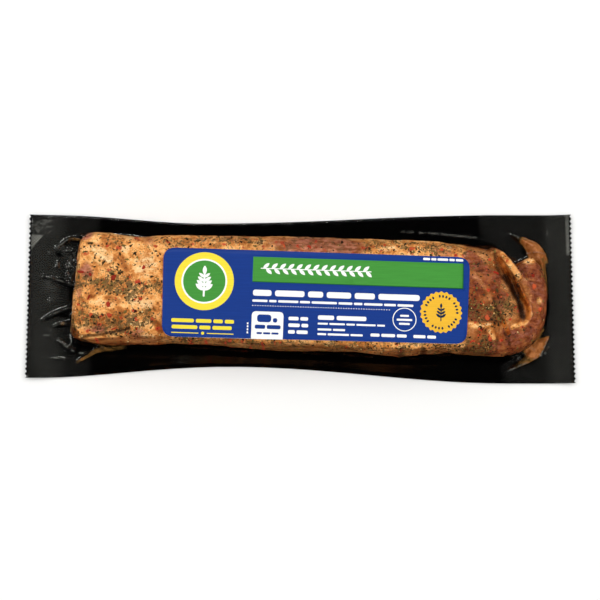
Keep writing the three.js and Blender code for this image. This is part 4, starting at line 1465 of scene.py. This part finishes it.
    def thickness(self, places: np.ndarray) -> np.ndarray:
        """How much rub lies at each place, for scattering it.

        Args:
            places: places in the meat's frame.

        Returns:
            A value for each place.
        """
        flat = places * (1.0, 1.0, 0.0)
        clumps = smooth(0.5 + 1.1 * lumps(flat, 5.0, 41)) * smooth(0.62 + 0.8 * lumps(flat, 2.2, 42))
        return (0.22 + strongest(self.beds, flat)) * (0.15 + clumps)


@dataclass
class LabelPlan:
    """Plan of the label, in the meat's frame."""

    centre: Point = (9.2, -3.7)
    half_length: float = 91.6
    half_width: float = 26.6
    corner: float = 7.5
    taper: float = 1.4
    near_turn: float = 0.65

    def covers(self, places: np.ndarray, margin: float) -> np.ndarray:
        """True where a place lies under the label by more than the margin.

        Args:
            places: places in the meat's frame.
            margin: the margin in millimetres.

        Returns:
            True or false for each place.
        """
        off_x = np.abs(places[:, 0] - self.centre[0]) - self.half_length
        off_y = np.abs(places[:, 1] - self.centre[1]) - self.half_width
        return np.maximum(off_x, off_y) < -margin

    def outline(self) -> list[Point]:
        """The label's edge, anticlockwise.

        Returns:
            Its corners in the meat's frame.
        """
        a, b, r = self.half_length, self.half_width, self.corner
        near = a - self.taper
        lean = self.taper * r / (2 * b)
        low_left, low_right = -b - self.near_turn, -b + self.near_turn
        sides = (
            ((near - r, low_right), (near, low_right), (near + lean, low_right + r)),
            ((a - lean, b - r), (a, b), (a - r, b)),
            ((-a + r, b), (-a, b), (-a + lean, b - r)),
            ((-near - lean, low_left + r), (-near, low_left), (-near + r, low_left)),
        )
        points = []
        for start, control, end in sides:
            for step in range(9):
                t = step / 8
                weights = ((1 - t) ** 2, 2 * t * (1 - t), t * t)
                points.append(
                    tuple(
                        sum(w * p[axis] for w, p in zip(weights, (start, control, end))) + self.centre[axis]
                        for axis in (0, 1)
                    )
                )
        return points


@dataclass
class PorkTenderloin:
    """The muscle with its thin tail folded back against it."""

    rub: RubMap = field(default_factory=RubMap)
    voxel: float = 0.86

    def build(self) -> Object:
        """Skins the solid, gives it grain and dresses it.

        Returns:
            The meat.
        """
        piece = object_from_bmesh("pork_tenderloin", cad_copy("tenderloin"), MarinatedPork().material())
        voxel_skin(piece, self.voxel, 4)
        places, normals = vertex_arrays(piece.data)
        relief = self.rub.relief(turned(places, -MEAT_TURN)) * smooth(normals[:, 2] / 0.4)
        along = places * (0.55, 1.0, 1.0)
        relief += 0.34 * lumps(along, 5.4, 50) + 0.28 * lumps(along, 3.1, 51) + 0.14 * lumps(places, 2.0, 52)
        bare = smooth((places[:, 2] - 1.0) / 2.0)
        move_vertices(piece.data, places + normals * (relief * bare)[:, None])
        places, normals = vertex_arrays(piece.data)
        meat_places = turned(places, -MEAT_TURN)
        for name, values in self.rub.masks(meat_places, turned(normals, -MEAT_TURN)).items():
            paint(piece.data, name, values)
        dress(piece, Slot.MEAT, "tenderloin")
        return piece


@dataclass(frozen=True)
class SpiceKind:
    """One kind of scrap in the rub, with the ranges of its sizes.

    Slimness is width over length. A flake's thickness is in millimetres, a lump's is over its
    length. Sunk is the share of its thickness below the surface, and rub_pull says how much
    more of it lies where the rub is thick.
    """

    name: str
    count: int
    length: tuple
    slimness: tuple
    thick: tuple
    sunk: float
    rub_pull: float
    tones: tuple
    lumpy: bool = False


SPICES = (
    SpiceKind(
        "herb_flakes", 1700, (0.7, 2.6), (0.3, 0.75), (0.2, 0.4), 0.6, 1.0,
        ((0.1, "#16110a"), (0.4, "#2f2413"), (0.7, "#4d3d20"), (1.0, "#77622f")),
    ),
    SpiceKind(
        "pepper_specks", 1350, (0.35, 1.15), (0.6, 1.0), (0.5, 0.9), 0.35, 0.35,
        ((0.2, "#0f0c0a"), (0.7, "#221a14"), (1.0, "#4a382a")),
        lumpy=True,
    ),
    SpiceKind(
        "chilli_flakes", 30, (0.8, 1.8), (0.45, 0.9), (0.25, 0.4), 0.6, 0.7,
        ((0.1, "#74200f"), (0.5, "#a02c1a"), (0.9, "#c0522c")),
    ),
    SpiceKind(
        "mustard_granules", 170, (0.6, 1.5), (0.7, 1.0), (0.5, 0.8), 0.45, 0.8,
        ((0.2, "#9a6c2c"), (0.6, "#c0924c"), (1.0, "#dfc084")),
        lumpy=True,
    ),
)


@dataclass(frozen=True)
class Chip:
    """A spice chip that stands out of the solid: its cap's centre, axes and half sizes in metres."""

    centre: Vector
    normal: Vector
    along: Vector
    half_length: float
    half_width: float


@dataclass
class SpiceRub:
    """The dry rub on the meat: loose scraps of each spice, one piece for each kind.

    A chip of the solid is flat within a small angle, its edges fall away by more than the steep
    one, and its area in square millimetres is in a range. Few scraps lie in the meat's groove.
    """

    rub: RubMap = field(default_factory=RubMap)
    label: LabelPlan = field(default_factory=LabelPlan)
    seed: int = 907
    variants: int = 5
    flat_angle: float = 0.01
    steep_angle: float = 0.5
    chip_area: Point = (0.4, 12.0)
    chilli_half_width: float = 0.86
    herb_slimness: float = 1.35
    scatter: float = 1.4
    chip_spread: Point = (2.2, 1.9)
    chip_thickness: float = 0.5
    chip_sink: float = 0.12
    groove: tuple = ((119, 20), (128, 4), (135, -12))
    groove_half_width: float = 4.0

    def scraps(self, kind: SpiceKind, random: np.random.Generator) -> list[tuple[np.ndarray, np.ndarray]]:
        """Unit shapes of a spice: triangulated scraps one long, wide and thick.

        Args:
            kind: the spice.
            random: seeded numbers.

        Returns:
            Corner places and triangles of each shape.
        """
        shapes = []
        for _ in range(self.variants):
            scrap = bmesh.new()
            if kind.lumpy:
                bmesh.ops.create_icosphere(scrap, subdivisions=1, radius=0.5)
                for vertex in scrap.verts:
                    vertex.co *= 1.0 + 0.22 * (random.random() - 0.5)
            else:
                bmesh.ops.create_circle(scrap, cap_ends=True, segments=7, radius=0.5)
                for vertex in scrap.verts:
                    vertex.co *= 1.0 + 1.1 * (random.random() - 0.5)
                    vertex.co.z = -0.5
                risen = bmesh.ops.extrude_face_region(scrap, geom=scrap.faces[:])
                for vertex in (g for g in risen["geom"] if isinstance(g, BMVert)):
                    vertex.co = Vector((vertex.co.x * 0.82, vertex.co.y * 0.82, 0.5))
            bmesh.ops.recalc_face_normals(scrap, faces=scrap.faces)
            bmesh.ops.triangulate(scrap, faces=scrap.faces)
            corners = np.array([v.co[:] for v in scrap.verts])
            triangles = np.array(sorted([v.index for v in f.verts] for f in scrap.faces))
            scrap.free()
            shapes.append((corners, triangles))
        return shapes

    def chips(self) -> list[Chip]:
        """Finds the chips on the solid: small flat caps whose every edge falls away steeply.

        Returns:
            The chips.
        """
        solid = cad_copy("tenderloin")
        solid.faces.index_update()
        solid.verts.index_update()
        seen: set[int] = set()
        found = []
        for start in solid.faces:
            if start.index in seen:
                continue
            region, members = [start], {start.index}
            for face in region:
                for other in (near for edge in face.edges for near in edge.link_faces):
                    turn = other.normal.angle(start.normal, math.pi)
                    if other.index not in members and turn < self.flat_angle:
                        region.append(other)
                        members.add(other.index)
            seen |= members
            area = sum(face.calc_area() for face in region) / MM**2
            border = [
                edge
                for face in region
                for edge in face.edges
                if sum(other.index in members for other in edge.link_faces) == 1
            ]
            steep = all(e.calc_face_angle_signed(0.0) > self.steep_angle for e in border)
            if len(region) < 3 or not self.chip_area[0] < area < self.chip_area[1] or not steep:
                continue
            corners = sorted({v for f in region for v in f.verts}, key=lambda vertex: vertex.index)
            centre = sum((v.co for v in corners), Vector()) / len(corners)
            along = max((v.co - centre for v in corners), key=lambda gap: gap.length)
            across = start.normal.cross(along).normalized()
            half_width = max(abs((v.co - centre).dot(across)) for v in corners)
            found.append(Chip(centre, start.normal.copy(), along.normalized(), along.length, half_width))
        solid.free()
        LOG.info("chips on the solid: %d", len(found))
        return found

    def kind_of(self, chip: Chip) -> str:
        """Which spice a chip is, from its size and shape.

        Args:
            chip: the chip.

        Returns:
            The name of the spice.
        """
        if chip.half_width > self.chilli_half_width * MM:
            return "chilli_flakes"
        slim = chip.half_length > self.herb_slimness * chip.half_width
        return "herb_flakes" if slim else "pepper_specks"

    def spots(
        self, kind: SpiceKind, meat: Object, random: np.random.Generator
    ) -> tuple[np.ndarray, np.ndarray]:
        """Seeded places and normals for the loose scraps of a spice on the meat's bare surface.

        Args:
            kind: the spice.
            meat: the finished meat.
            random: seeded numbers.

        Returns:
            The places in millimetres and the normals.
        """
        mesh = meat.data
        count = len(mesh.polygons)
        centres, normals, areas = np.empty(count * 3), np.empty(count * 3), np.empty(count)
        mesh.polygons.foreach_get("center", centres)
        mesh.polygons.foreach_get("normal", normals)
        mesh.polygons.foreach_get("area", areas)
        centres, normals = centres.reshape(-1, 3) / MM, normals.reshape(-1, 3)
        places = turned(centres, -MEAT_TURN)
        thickness = self.rub.thickness(places)
        weight = areas * thickness**kind.rub_pull
        weight *= smooth((normals[:, 2] + 0.1) / 0.4) * smooth((centres[:, 2] - 3.0) / 5.0)
        weight[self.label.covers(places, 1.0)] = 0.0
        right = smooth((places[:, 0] - 90.0) / 10.0)
        tail = smooth((places[:, 0] - 132.0) / 5.0)
        weight *= (1.0 - 0.25 * right) * (1.0 - 0.7 * tail)
        strips = (np.abs(places[:, 0] - 9.0) < 90.0) & (places[:, 1] > 0.0)
        weight[strips] *= 0.75
        weight[distance_to_path(places, self.groove) < self.groove_half_width] *= 0.08
        chosen = random.choice(count, kind.count, p=weight / weight.sum())
        spread = (random.random((kind.count, 3)) - 0.5) * self.scatter
        spread -= (spread * normals[chosen]).sum(axis=1)[:, None] * normals[chosen]
        return centres[chosen] + spread, normals[chosen]

    def joined(
        self,
        kind: SpiceKind,
        frames: list[tuple[np.ndarray, np.ndarray, np.ndarray]],
        random: np.random.Generator,
    ) -> Object:
        """Joins scraps into one mesh.

        Args:
            kind: the spice.
            frames: for each scrap its centre, its three axes as rows, and its three sizes.
            random: seeded numbers.

        Returns:
            The spice's piece.
        """
        shapes = self.scraps(kind, random)
        corners, triangles, tones = [], [], []
        first = 0
        for k, (centre, axes, sizes) in enumerate(frames):
            shape, faces = shapes[k % len(shapes)]
            corners.append((shape * sizes) @ axes + centre)
            triangles.append(faces + first)
            tones.append(np.full(len(shape), random.random()))
            first += len(shape)
        mesh = bpy.data.meshes.new(kind.name)
        mesh.from_pydata(np.concatenate(corners) * MM, [], np.concatenate(triangles))
        paint(mesh, "tone", np.concatenate(tones))
        return object_from(kind.name, mesh, DrySpice(kind.name, kind.tones).material())

    def build(self, meat: Object) -> list[Object]:
        """Scatters each spice over the meat and dresses it.

        Args:
            meat: the finished meat.

        Returns:
            One piece for each spice.
        """
        chips = self.chips()
        search = tree_of(meat.data)
        pieces = []
        for number, kind in enumerate(SPICES):
            random = np.random.default_rng(self.seed + number)
            frames = []
            for chip in chips:
                if self.kind_of(chip) != kind.name:
                    continue
                side = chip.normal.cross(chip.along)
                axes = np.array([chip.along[:], side[:], chip.normal[:]])
                halves = np.array([chip.half_length, chip.half_width]) / MM
                sizes = np.array([*(self.chip_spread * halves), self.chip_thickness])
                spot = search.find_nearest(chip.centre)[0]
                frames.append((np.array(spot) / MM - axes[2] * self.chip_sink, axes, sizes))
            centres, normals = self.spots(kind, meat, random)
            for centre, normal in zip(centres, normals):
                spin = random.random(3) - 0.5
                along = np.cross(normal, spin)
                along /= np.linalg.norm(along)
                tilt = normal + 0.25 * (random.random(3) - 0.5)
                tilt -= (tilt @ along) * along
                tilt /= np.linalg.norm(tilt)
                axes = np.array([along, np.cross(tilt, along), tilt])
                length = kind.length[0] + (kind.length[1] - kind.length[0]) * random.random() ** 1.8
                slim = random.uniform(*kind.slimness)
                thick = random.uniform(*kind.thick) * (length if kind.lumpy else 1.0)
                sizes = np.array([length, length * slim, thick])
                frames.append((centre + normal * (0.5 - kind.sunk) * thick, axes, sizes))
            piece = self.joined(kind, frames, random)
            dress(piece, None)
            pieces.append(piece)
        return pieces


# The label


class Ink(Enum):
    """Inks and paper of the label, in the order of their material slots."""

    BLUE = ("label_blue", "#133784")
    GREEN = ("label_green", "#43913a")
    GREEN_SHADE = ("label_green_shade", "#1f5a2c")
    YELLOW = ("label_yellow", "#efda3c")
    AMBER = ("label_amber", "#eab432")
    NAVY = ("label_navy", "#142a44")
    WHITE = ("label_white", "#f4f4f0")


@dataclass
class PrintedLabel:
    """The paper label on the film, its print cut into the sheet as fields of plain shapes.

    A line stands in place of words. It is where it starts, between which heights it lies, the
    lengths of its bars and the gap between them. All places are in the meat's frame.
    """

    plan: LabelPlan = field(default_factory=LabelPlan)
    pitch: float = 3.0
    thickness: float = 0.2
    evening_rounds: int = 12
    shapes: list = field(default_factory=list)
    upper_lines: tuple = (
        (72.6, 20.3, 21.7, (4.2, 3.0, 6.4, 3.2, 4.4), 0.7),
        (-28.0, -4.8, -1.2, (11.0, 17.5, 9.0, 14.5, 12.0, 24.5), 2.1),
        (-28.2, -8.5, -7.1, (9.0, 4.4, 12.0, 6.0, 15.0, 8.2, 5.0, 11.0, 7.0, 9.4), 0.95),
    )
    lower_lines: tuple = (
        (-6.4, -18.9, -16.8, (6.0, 4.6), 1.0),
        (-6.4, -22.9, -20.8, (6.8, 4.0), 1.0),
        (-6.4, -26.9, -24.8, (4.0, 6.6), 1.0),
        (11.0, -18.0, -15.4, (9.6, 17.6), 1.5),
        (11.0, -20.9, -19.8, (6.0, 9.2, 5.0, 11.4, 4.6), 0.9),
        (11.0, -24.4, -23.2, (8.2, 7.2), 0.9),
        (11.0, -27.2, -26.0, (5.2, 12.6, 7.2), 0.9),
        (42.4, -27.0, -25.2, (5.4, 8.2, 5.8), 1.0),
        (67.8, -27.0, -25.2, (7.2, 5.2), 1.0),
    )

    def field_of(self, ink: Ink, outline: list[Point]) -> None:
        """Adds a field of ink over what is printed so far, with its outline turned anticlockwise."""
        area = sum(a[0] * b[1] - b[0] * a[1] for a, b in zip(outline, outline[1:] + outline[:1]))
        self.shapes.append((ink, outline if area > 0 else outline[::-1]))

    def bar(self, ink: Ink, x0: float, x1: float, y0: float, y1: float, radius: float) -> None:
        """A bar with round corners, between two places along and two across.

        Args:
            ink: the ink to print with.
            x0: its left end.
            x1: its right end.
            y0: its near side.
            y1: its far side.
            radius: the radius of its corners.
        """
        r = min(radius, (x1 - x0) / 2, (y1 - y0) / 2)
        outline = []
        corners = ((x1 - r, y1 - r), (x0 + r, y1 - r), (x0 + r, y0 + r), (x1 - r, y0 + r))
        for turn, (cx, cy) in enumerate(corners):
            for step in range(4):
                angle = (turn + step / 3) * math.pi / 2
                outline.append((cx + r * math.cos(angle), cy + r * math.sin(angle)))
        self.field_of(ink, outline)

    def disc(self, ink: Ink, x: float, y: float, radius: float, wave: float = 0.0, waves: int = 24) -> None:
        """A disc, with a scalloped edge if wave isn't 0.

        Args:
            ink: the ink to print with.
            x: its middle along.
            y: its middle across.
            radius: its radius.
            wave: height of its scallops.
            waves: how many scallops it has.
        """
        count = waves * 8 if wave else 48
        angles = [2 * math.pi * k / count for k in range(count)]
        reach = [radius + wave * math.cos(waves * a) for a in angles]
        self.field_of(ink, [(x + d * math.cos(a), y + d * math.sin(a)) for d, a in zip(reach, angles)])

    def leaf(self, ink: Ink, x: float, y: float, angle: float, length: float, width: float) -> None:
        """A pointed leaf that grows from a place at an angle.

        Args:
            ink: the ink to print with.
            x: the place along.
            y: the place across.
            angle: the angle in radians.
            length: the leaf's length.
            width: its width.
        """
        cos, sin = math.cos(angle), math.sin(angle)
        steps = [k / 8 for k in range(9)]
        edge = [(t * length, width / 2 * math.sin(math.pi * t) ** 0.8) for t in steps]
        edge += [(t * length, -w) for (_, w), t in zip(edge[-2:0:-1], steps[-2:0:-1])]
        self.field_of(ink, [(x + a * cos - b * sin, y + a * sin + b * cos) for a, b in edge])

    def words(self, ink: Ink, x: float, y0: float, y1: float, lengths: tuple, gap: float) -> None:
        """A line of plain bars in place of words, from x on.

        Args:
            ink: the ink to print with.
            x: where the line starts.
            y0: its near side.
            y1: its far side.
            lengths: the lengths of its bars.
            gap: the gap between them.
        """
        for length in lengths:
            self.bar(ink, x, x + length, y0, y1, (y1 - y0) * 0.35)
            x += length + gap

    def sprig(self, ink: Ink, x: float, y: float, height: float, pairs: int) -> None:
        """An upright herb sprig: a stem with pairs of leaves and one at its tip.

        Args:
            ink: the ink to print with.
            x: its middle along.
            y: its middle across.
            height: its height.
            pairs: how many pairs of leaves it has.
        """
        stem = height * 0.03
        self.bar(ink, x - stem, x + stem, y - height / 2, y + height * 0.3, stem)
        for k in range(pairs):
            level = y - height * 0.3 + k * height * 0.56 / pairs
            size = height * (0.34 - 0.04 * k)
            for angle in (math.radians(38), math.radians(142)):
                self.leaf(ink, x, level, angle, size, size * 0.42)
        self.leaf(ink, x, y + height * 0.2, math.pi / 2, height * 0.3, height * 0.13)

    def garland(self, x0: float, x1: float, y: float) -> None:
        """A lying branch with leaves on both sides, for the green band.

        Args:
            x0: its left end.
            x1: its right end.
            y: its place across.
        """
        self.bar(Ink.WHITE, x0, x1, y - 0.28, y + 0.28, 0.28)
        count = 13
        for k in range(count):
            x = x0 + 1.5 + k * (x1 - x0 - 6.5) / (count - 1)
            self.leaf(Ink.WHITE, x, y, math.radians(42), 4.9, 2.1)
            self.leaf(Ink.WHITE, x + 1.6, y, math.radians(-42), 4.9, 2.1)

    def design(self) -> None:
        """Lays out the print."""
        self.bar(Ink.GREEN_SHADE, -28.6, 97.0, 3.4, 18.9, 0.2)
        self.bar(Ink.GREEN, -28.6, 96.4, 3.9, 18.9, 0.2)
        self.garland(-24.0, 42.0, 11.9)
        for line in self.upper_lines:
            self.words(Ink.WHITE, *line)
        for k in range(55):
            self.bar(Ink.WHITE, -28.2 + 1.5 * k, -27.5 + 1.5 * k, -11.0, -10.5, 0.25)
        self.white_box()
        for line in self.lower_lines:
            self.words(Ink.WHITE, *line)
        self.round_stamp()
        self.scalloped_seal()
        self.yellow_emblem()
        for k in range(4):
            self.bar(Ink.WHITE, -30.9, -30.0, -27.6 + 1.8 * k, -26.4 + 1.8 * k, 0.3)

    def white_box(self) -> None:
        """The white panel at the near edge, with plain blue bars."""
        self.bar(Ink.WHITE, -28.2, -9.4, -29.4, -14.2, 2.2)
        self.bar(Ink.WHITE, -28.2, -9.4, -30.6, -26.0, 0.1)
        self.bar(Ink.BLUE, -25.0, -16.6, -20.6, -16.0, 1.6)
        self.bar(Ink.BLUE, -15.6, -13.0, -20.6, -18.0, 1.0)
        self.words(Ink.BLUE, -26.2, -24.6, -22.2, (6.2, 8.2), 0.9)
        self.words(Ink.BLUE, -25.0, -27.8, -26.6, (3.2, 4.2, 4.2), 0.7)

    def round_stamp(self) -> None:
        """A thin ring round three short bars."""
        x, y = 62.3, -16.2
        self.disc(Ink.WHITE, x, y, 7.1)
        self.disc(Ink.BLUE, x, y, 6.6)
        for low, half in ((-14.6, 2.6), (-17.0, 4.6), (-19.4, 3.2)):
            self.bar(Ink.WHITE, x - half, x + half, low, low + 1.2, 0.4)

    def scalloped_seal(self) -> None:
        """A scalloped seal with a ring of dashes round a herb sprig."""
        x, y = 83.9, -11.0
        self.disc(Ink.AMBER, x, y, 12.2, wave=0.42)
        dashes = 30
        for k in range(dashes):
            if k % 10 in (4, 9):
                continue
            angle = 2 * math.pi * k / dashes
            cx, cy = x + 9.6 * math.cos(angle), y + 9.6 * math.sin(angle)
            self.leaf(Ink.NAVY, cx - 0.9 * math.cos(angle), cy - 0.9 * math.sin(angle), angle, 1.9, 1.25)
        self.sprig(Ink.NAVY, x, y, 11.0, 3)

    def yellow_emblem(self) -> None:
        """A round yellow emblem with a white ring and a green sprig, over plain yellow lines."""
        x, y = -57.2, 3.0
        self.disc(Ink.YELLOW, x, y, 17.6)
        self.disc(Ink.WHITE, x, y, 13.6)
        self.disc(Ink.GREEN, x, y, 12.6)
        self.sprig(Ink.WHITE, x, y, 19.0, 4)
        self.words(Ink.YELLOW, -75.8, -22.1, -19.9, (13.4, 9.2, 5.6, 5.4), 1.2)
        self.words(Ink.YELLOW, -75.4, -26.0, -23.8, (15.2, 6.6, 11.4), 1.2)
        self.bar(Ink.YELLOW, -75.6, -59.4, -28.6, -28.1, 0.2)
        self.bar(Ink.YELLOW, -54.4, -38.6, -28.6, -28.1, 0.2)
        self.disc(Ink.YELLOW, -56.9, -28.3, 0.9)

    def build(self) -> Object:
        """Cuts the sheet along its print, lays it on the solid's top and dresses it.

        Returns:
            The label.
        """
        self.design()
        outline = self.plan.outline()
        plates = [(Ink.BLUE, outline), *self.shapes]
        points, faces = [], []
        for _, edge in plates:
            faces.append(list(range(len(points), len(points) + len(edge))))
            points += edge
        rows = [
            np.arange(middle - half + 2, middle + half - 1, self.pitch)
            for middle, half in zip(self.plan.centre, (self.plan.half_length, self.plan.half_width))
        ]
        points += [(float(x), float(y)) for x, y in itertools.product(*rows)]
        spots, _, cells, _, _, sources = delaunay_2d_cdt(
            [Vector(point) for point in points], [], faces, INSIDE_FACES, 1e-4
        )
        flat = turned(np.array([(s.x, s.y, 0.0) for s in spots]), MEAT_TURN)
        solid = cad_copy("label")
        search = BVHTree.FromBMesh(solid)
        solid.free()
        for place in flat:
            above = Vector((place[0], place[1], 60.0)) * MM
            hit = search.ray_cast(above, Vector((0, 0, -1)))[0] or search.find_nearest(above)[0]
            place[2] = hit.z / MM
        mesh = bpy.data.meshes.new("printed_label")
        mesh.from_pydata(flat * MM, [], cells)
        inks = list(Ink)
        mesh.polygons.foreach_set("material_index", [inks.index(plates[max(ids)][0]) for ids in sources])
        piece = object_from("printed_label", mesh, *(PrintInk(*ink.value).material() for ink in inks))
        self.settle(piece)
        dress(piece, Slot.LABEL, "label")
        return piece

    def settle(self, piece: Object) -> None:
        """Evens out the sheet's height and gives it thickness, with white paper at its cut edge.

        Args:
            piece: the label's sheet.
        """
        shape = bmesh.new()
        shape.from_mesh(piece.data)
        bmesh.ops.recalc_face_normals(shape, faces=shape.faces)
        if sum(face.normal.z for face in shape.faces) < 0:
            bmesh.ops.reverse_faces(shape, faces=shape.faces)
        for _ in range(self.evening_rounds):
            bmesh.ops.smooth_vert(
                shape, verts=shape.verts, factor=0.5, use_axis_x=False, use_axis_y=False, use_axis_z=True
            )
        shape.to_mesh(piece.data)
        shape.free()
        shell = piece.modifiers.new("paper", "SOLIDIFY")
        shell.thickness = self.thickness * MM
        shell.offset = -1.0
        shell.material_offset = len(Ink)
        shell.material_offset_rim = len(Ink)
        apply_modifiers(piece)


# The studio


@dataclass(frozen=True)
class Lamp:
    """An area light: its place and size in millimetres, its power, and what it shows in."""

    name: str
    place: tuple
    size: Point
    power: float
    aim: tuple = (0.0, 0.0, 0.0)
    mirrored: bool = False


@dataclass
class Studio:
    """A pale floor, soft light with a dark gap mirrored above the pack, and the camera."""

    elevation: float = math.radians(79.0)
    distance: float = 1140.0
    lens: float = 112.1
    shift: Point = (-0.0005, -0.00167)
    floor_half: float = 4000.0
    lamps: tuple = (
        Lamp("softbox_left", (-1035, 250, 1500), (1500, 2200), 16.5, (-1035, 250, 0)),
        Lamp("softbox_right", (1010, 250, 1500), (1500, 2200), 16.5, (1010, 250, 0)),
        Lamp("reflector_left", (-1035, 250, 1500), (1500, 2200), 2.6, (-1035, 250, 0), True),
        Lamp("reflector_right", (1010, 250, 1500), (1500, 2200), 2.6, (1010, 250, 0), True),
        Lamp("strip_behind", (-400, 1300, 1100), (1100, 260), 9.0, mirrored=True),
        Lamp("strip_left", (-1400, 100, 1000), (260, 1100), 3.0, mirrored=True),
    )
    ambient: float = 0.59

    def floor(self) -> None:
        """A plain pale floor."""
        material, tree, output = fresh_material("pale_studio_floor")
        shader = add(tree, "ShaderNodeBsdfPrincipled", {"Base Color": srgb("#f4f4f2"), "Roughness": 0.8})
        tree.links.new(shader.outputs[0], output.inputs[0])
        shape = bmesh.new()
        bmesh.ops.create_grid(shape, x_segments=1, y_segments=1, size=self.floor_half * MM)
        floor = object_from_bmesh("studio_floor", shape, material)
        floor.visible_glossy = False

    def lights(self) -> None:
        """Broad soft light, what the film mirrors, and the room's even light."""
        for lamp in self.lamps:
            data = bpy.data.lights.new(lamp.name, "AREA")
            data.shape = "RECTANGLE"
            data.size, data.size_y = lamp.size[0] * MM, lamp.size[1] * MM
            data.energy = lamp.power
            light = bpy.data.objects.new(lamp.name, data)
            light.location = Vector(lamp.place) * MM
            aim = Vector(lamp.aim) - Vector(lamp.place)
            light.rotation_euler = aim.to_track_quat("-Z", "Y").to_euler()
            light.visible_glossy, light.visible_diffuse = lamp.mirrored, not lamp.mirrored
            bpy.context.scene.collection.objects.link(light)
        world = bpy.data.worlds.new("studio_room")
        world.use_nodes = True
        background = world.node_tree.nodes["Background"]
        background.inputs["Color"].default_value = (1.0, 1.0, 1.0, 1.0)
        background.inputs["Strength"].default_value = self.ambient
        world.cycles_visibility.glossy = False
        bpy.context.scene.world = world

    def camera(self) -> None:
        """The camera, nearly overhead, as in the photograph."""
        data = bpy.data.cameras.new("camera")
        data.lens, data.sensor_width = self.lens, 36.0
        data.shift_x, data.shift_y = self.shift
        data.clip_end = 20.0
        camera = bpy.data.objects.new("camera", data)
        back = Vector((0.0, -math.cos(self.elevation), math.sin(self.elevation)))
        camera.location = back * self.distance * MM
        camera.rotation_mode = "QUATERNION"
        camera.rotation_quaternion = (-back).to_track_quat("-Z", "Y")
        bpy.context.scene.collection.objects.link(camera)
        bpy.context.scene.camera = camera

    def build(self) -> None:
        """Sets up the floor, the lights and the camera."""
        self.floor()
        self.lights()
        self.camera()
        bpy.context.scene.view_settings.view_transform = "Standard"


def main() -> None:
    """Builds the pack piece by piece round the frame."""
    logging.basicConfig(level=logging.INFO, format="%(message)s")
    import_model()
    BackingWeb().build()
    meat = PorkTenderloin().build()
    SpiceRub().build(meat)
    DrapedFilm().build(meat)
    PrintedLabel().build()
    Studio().build()


if __name__ == "__main__":
    main()
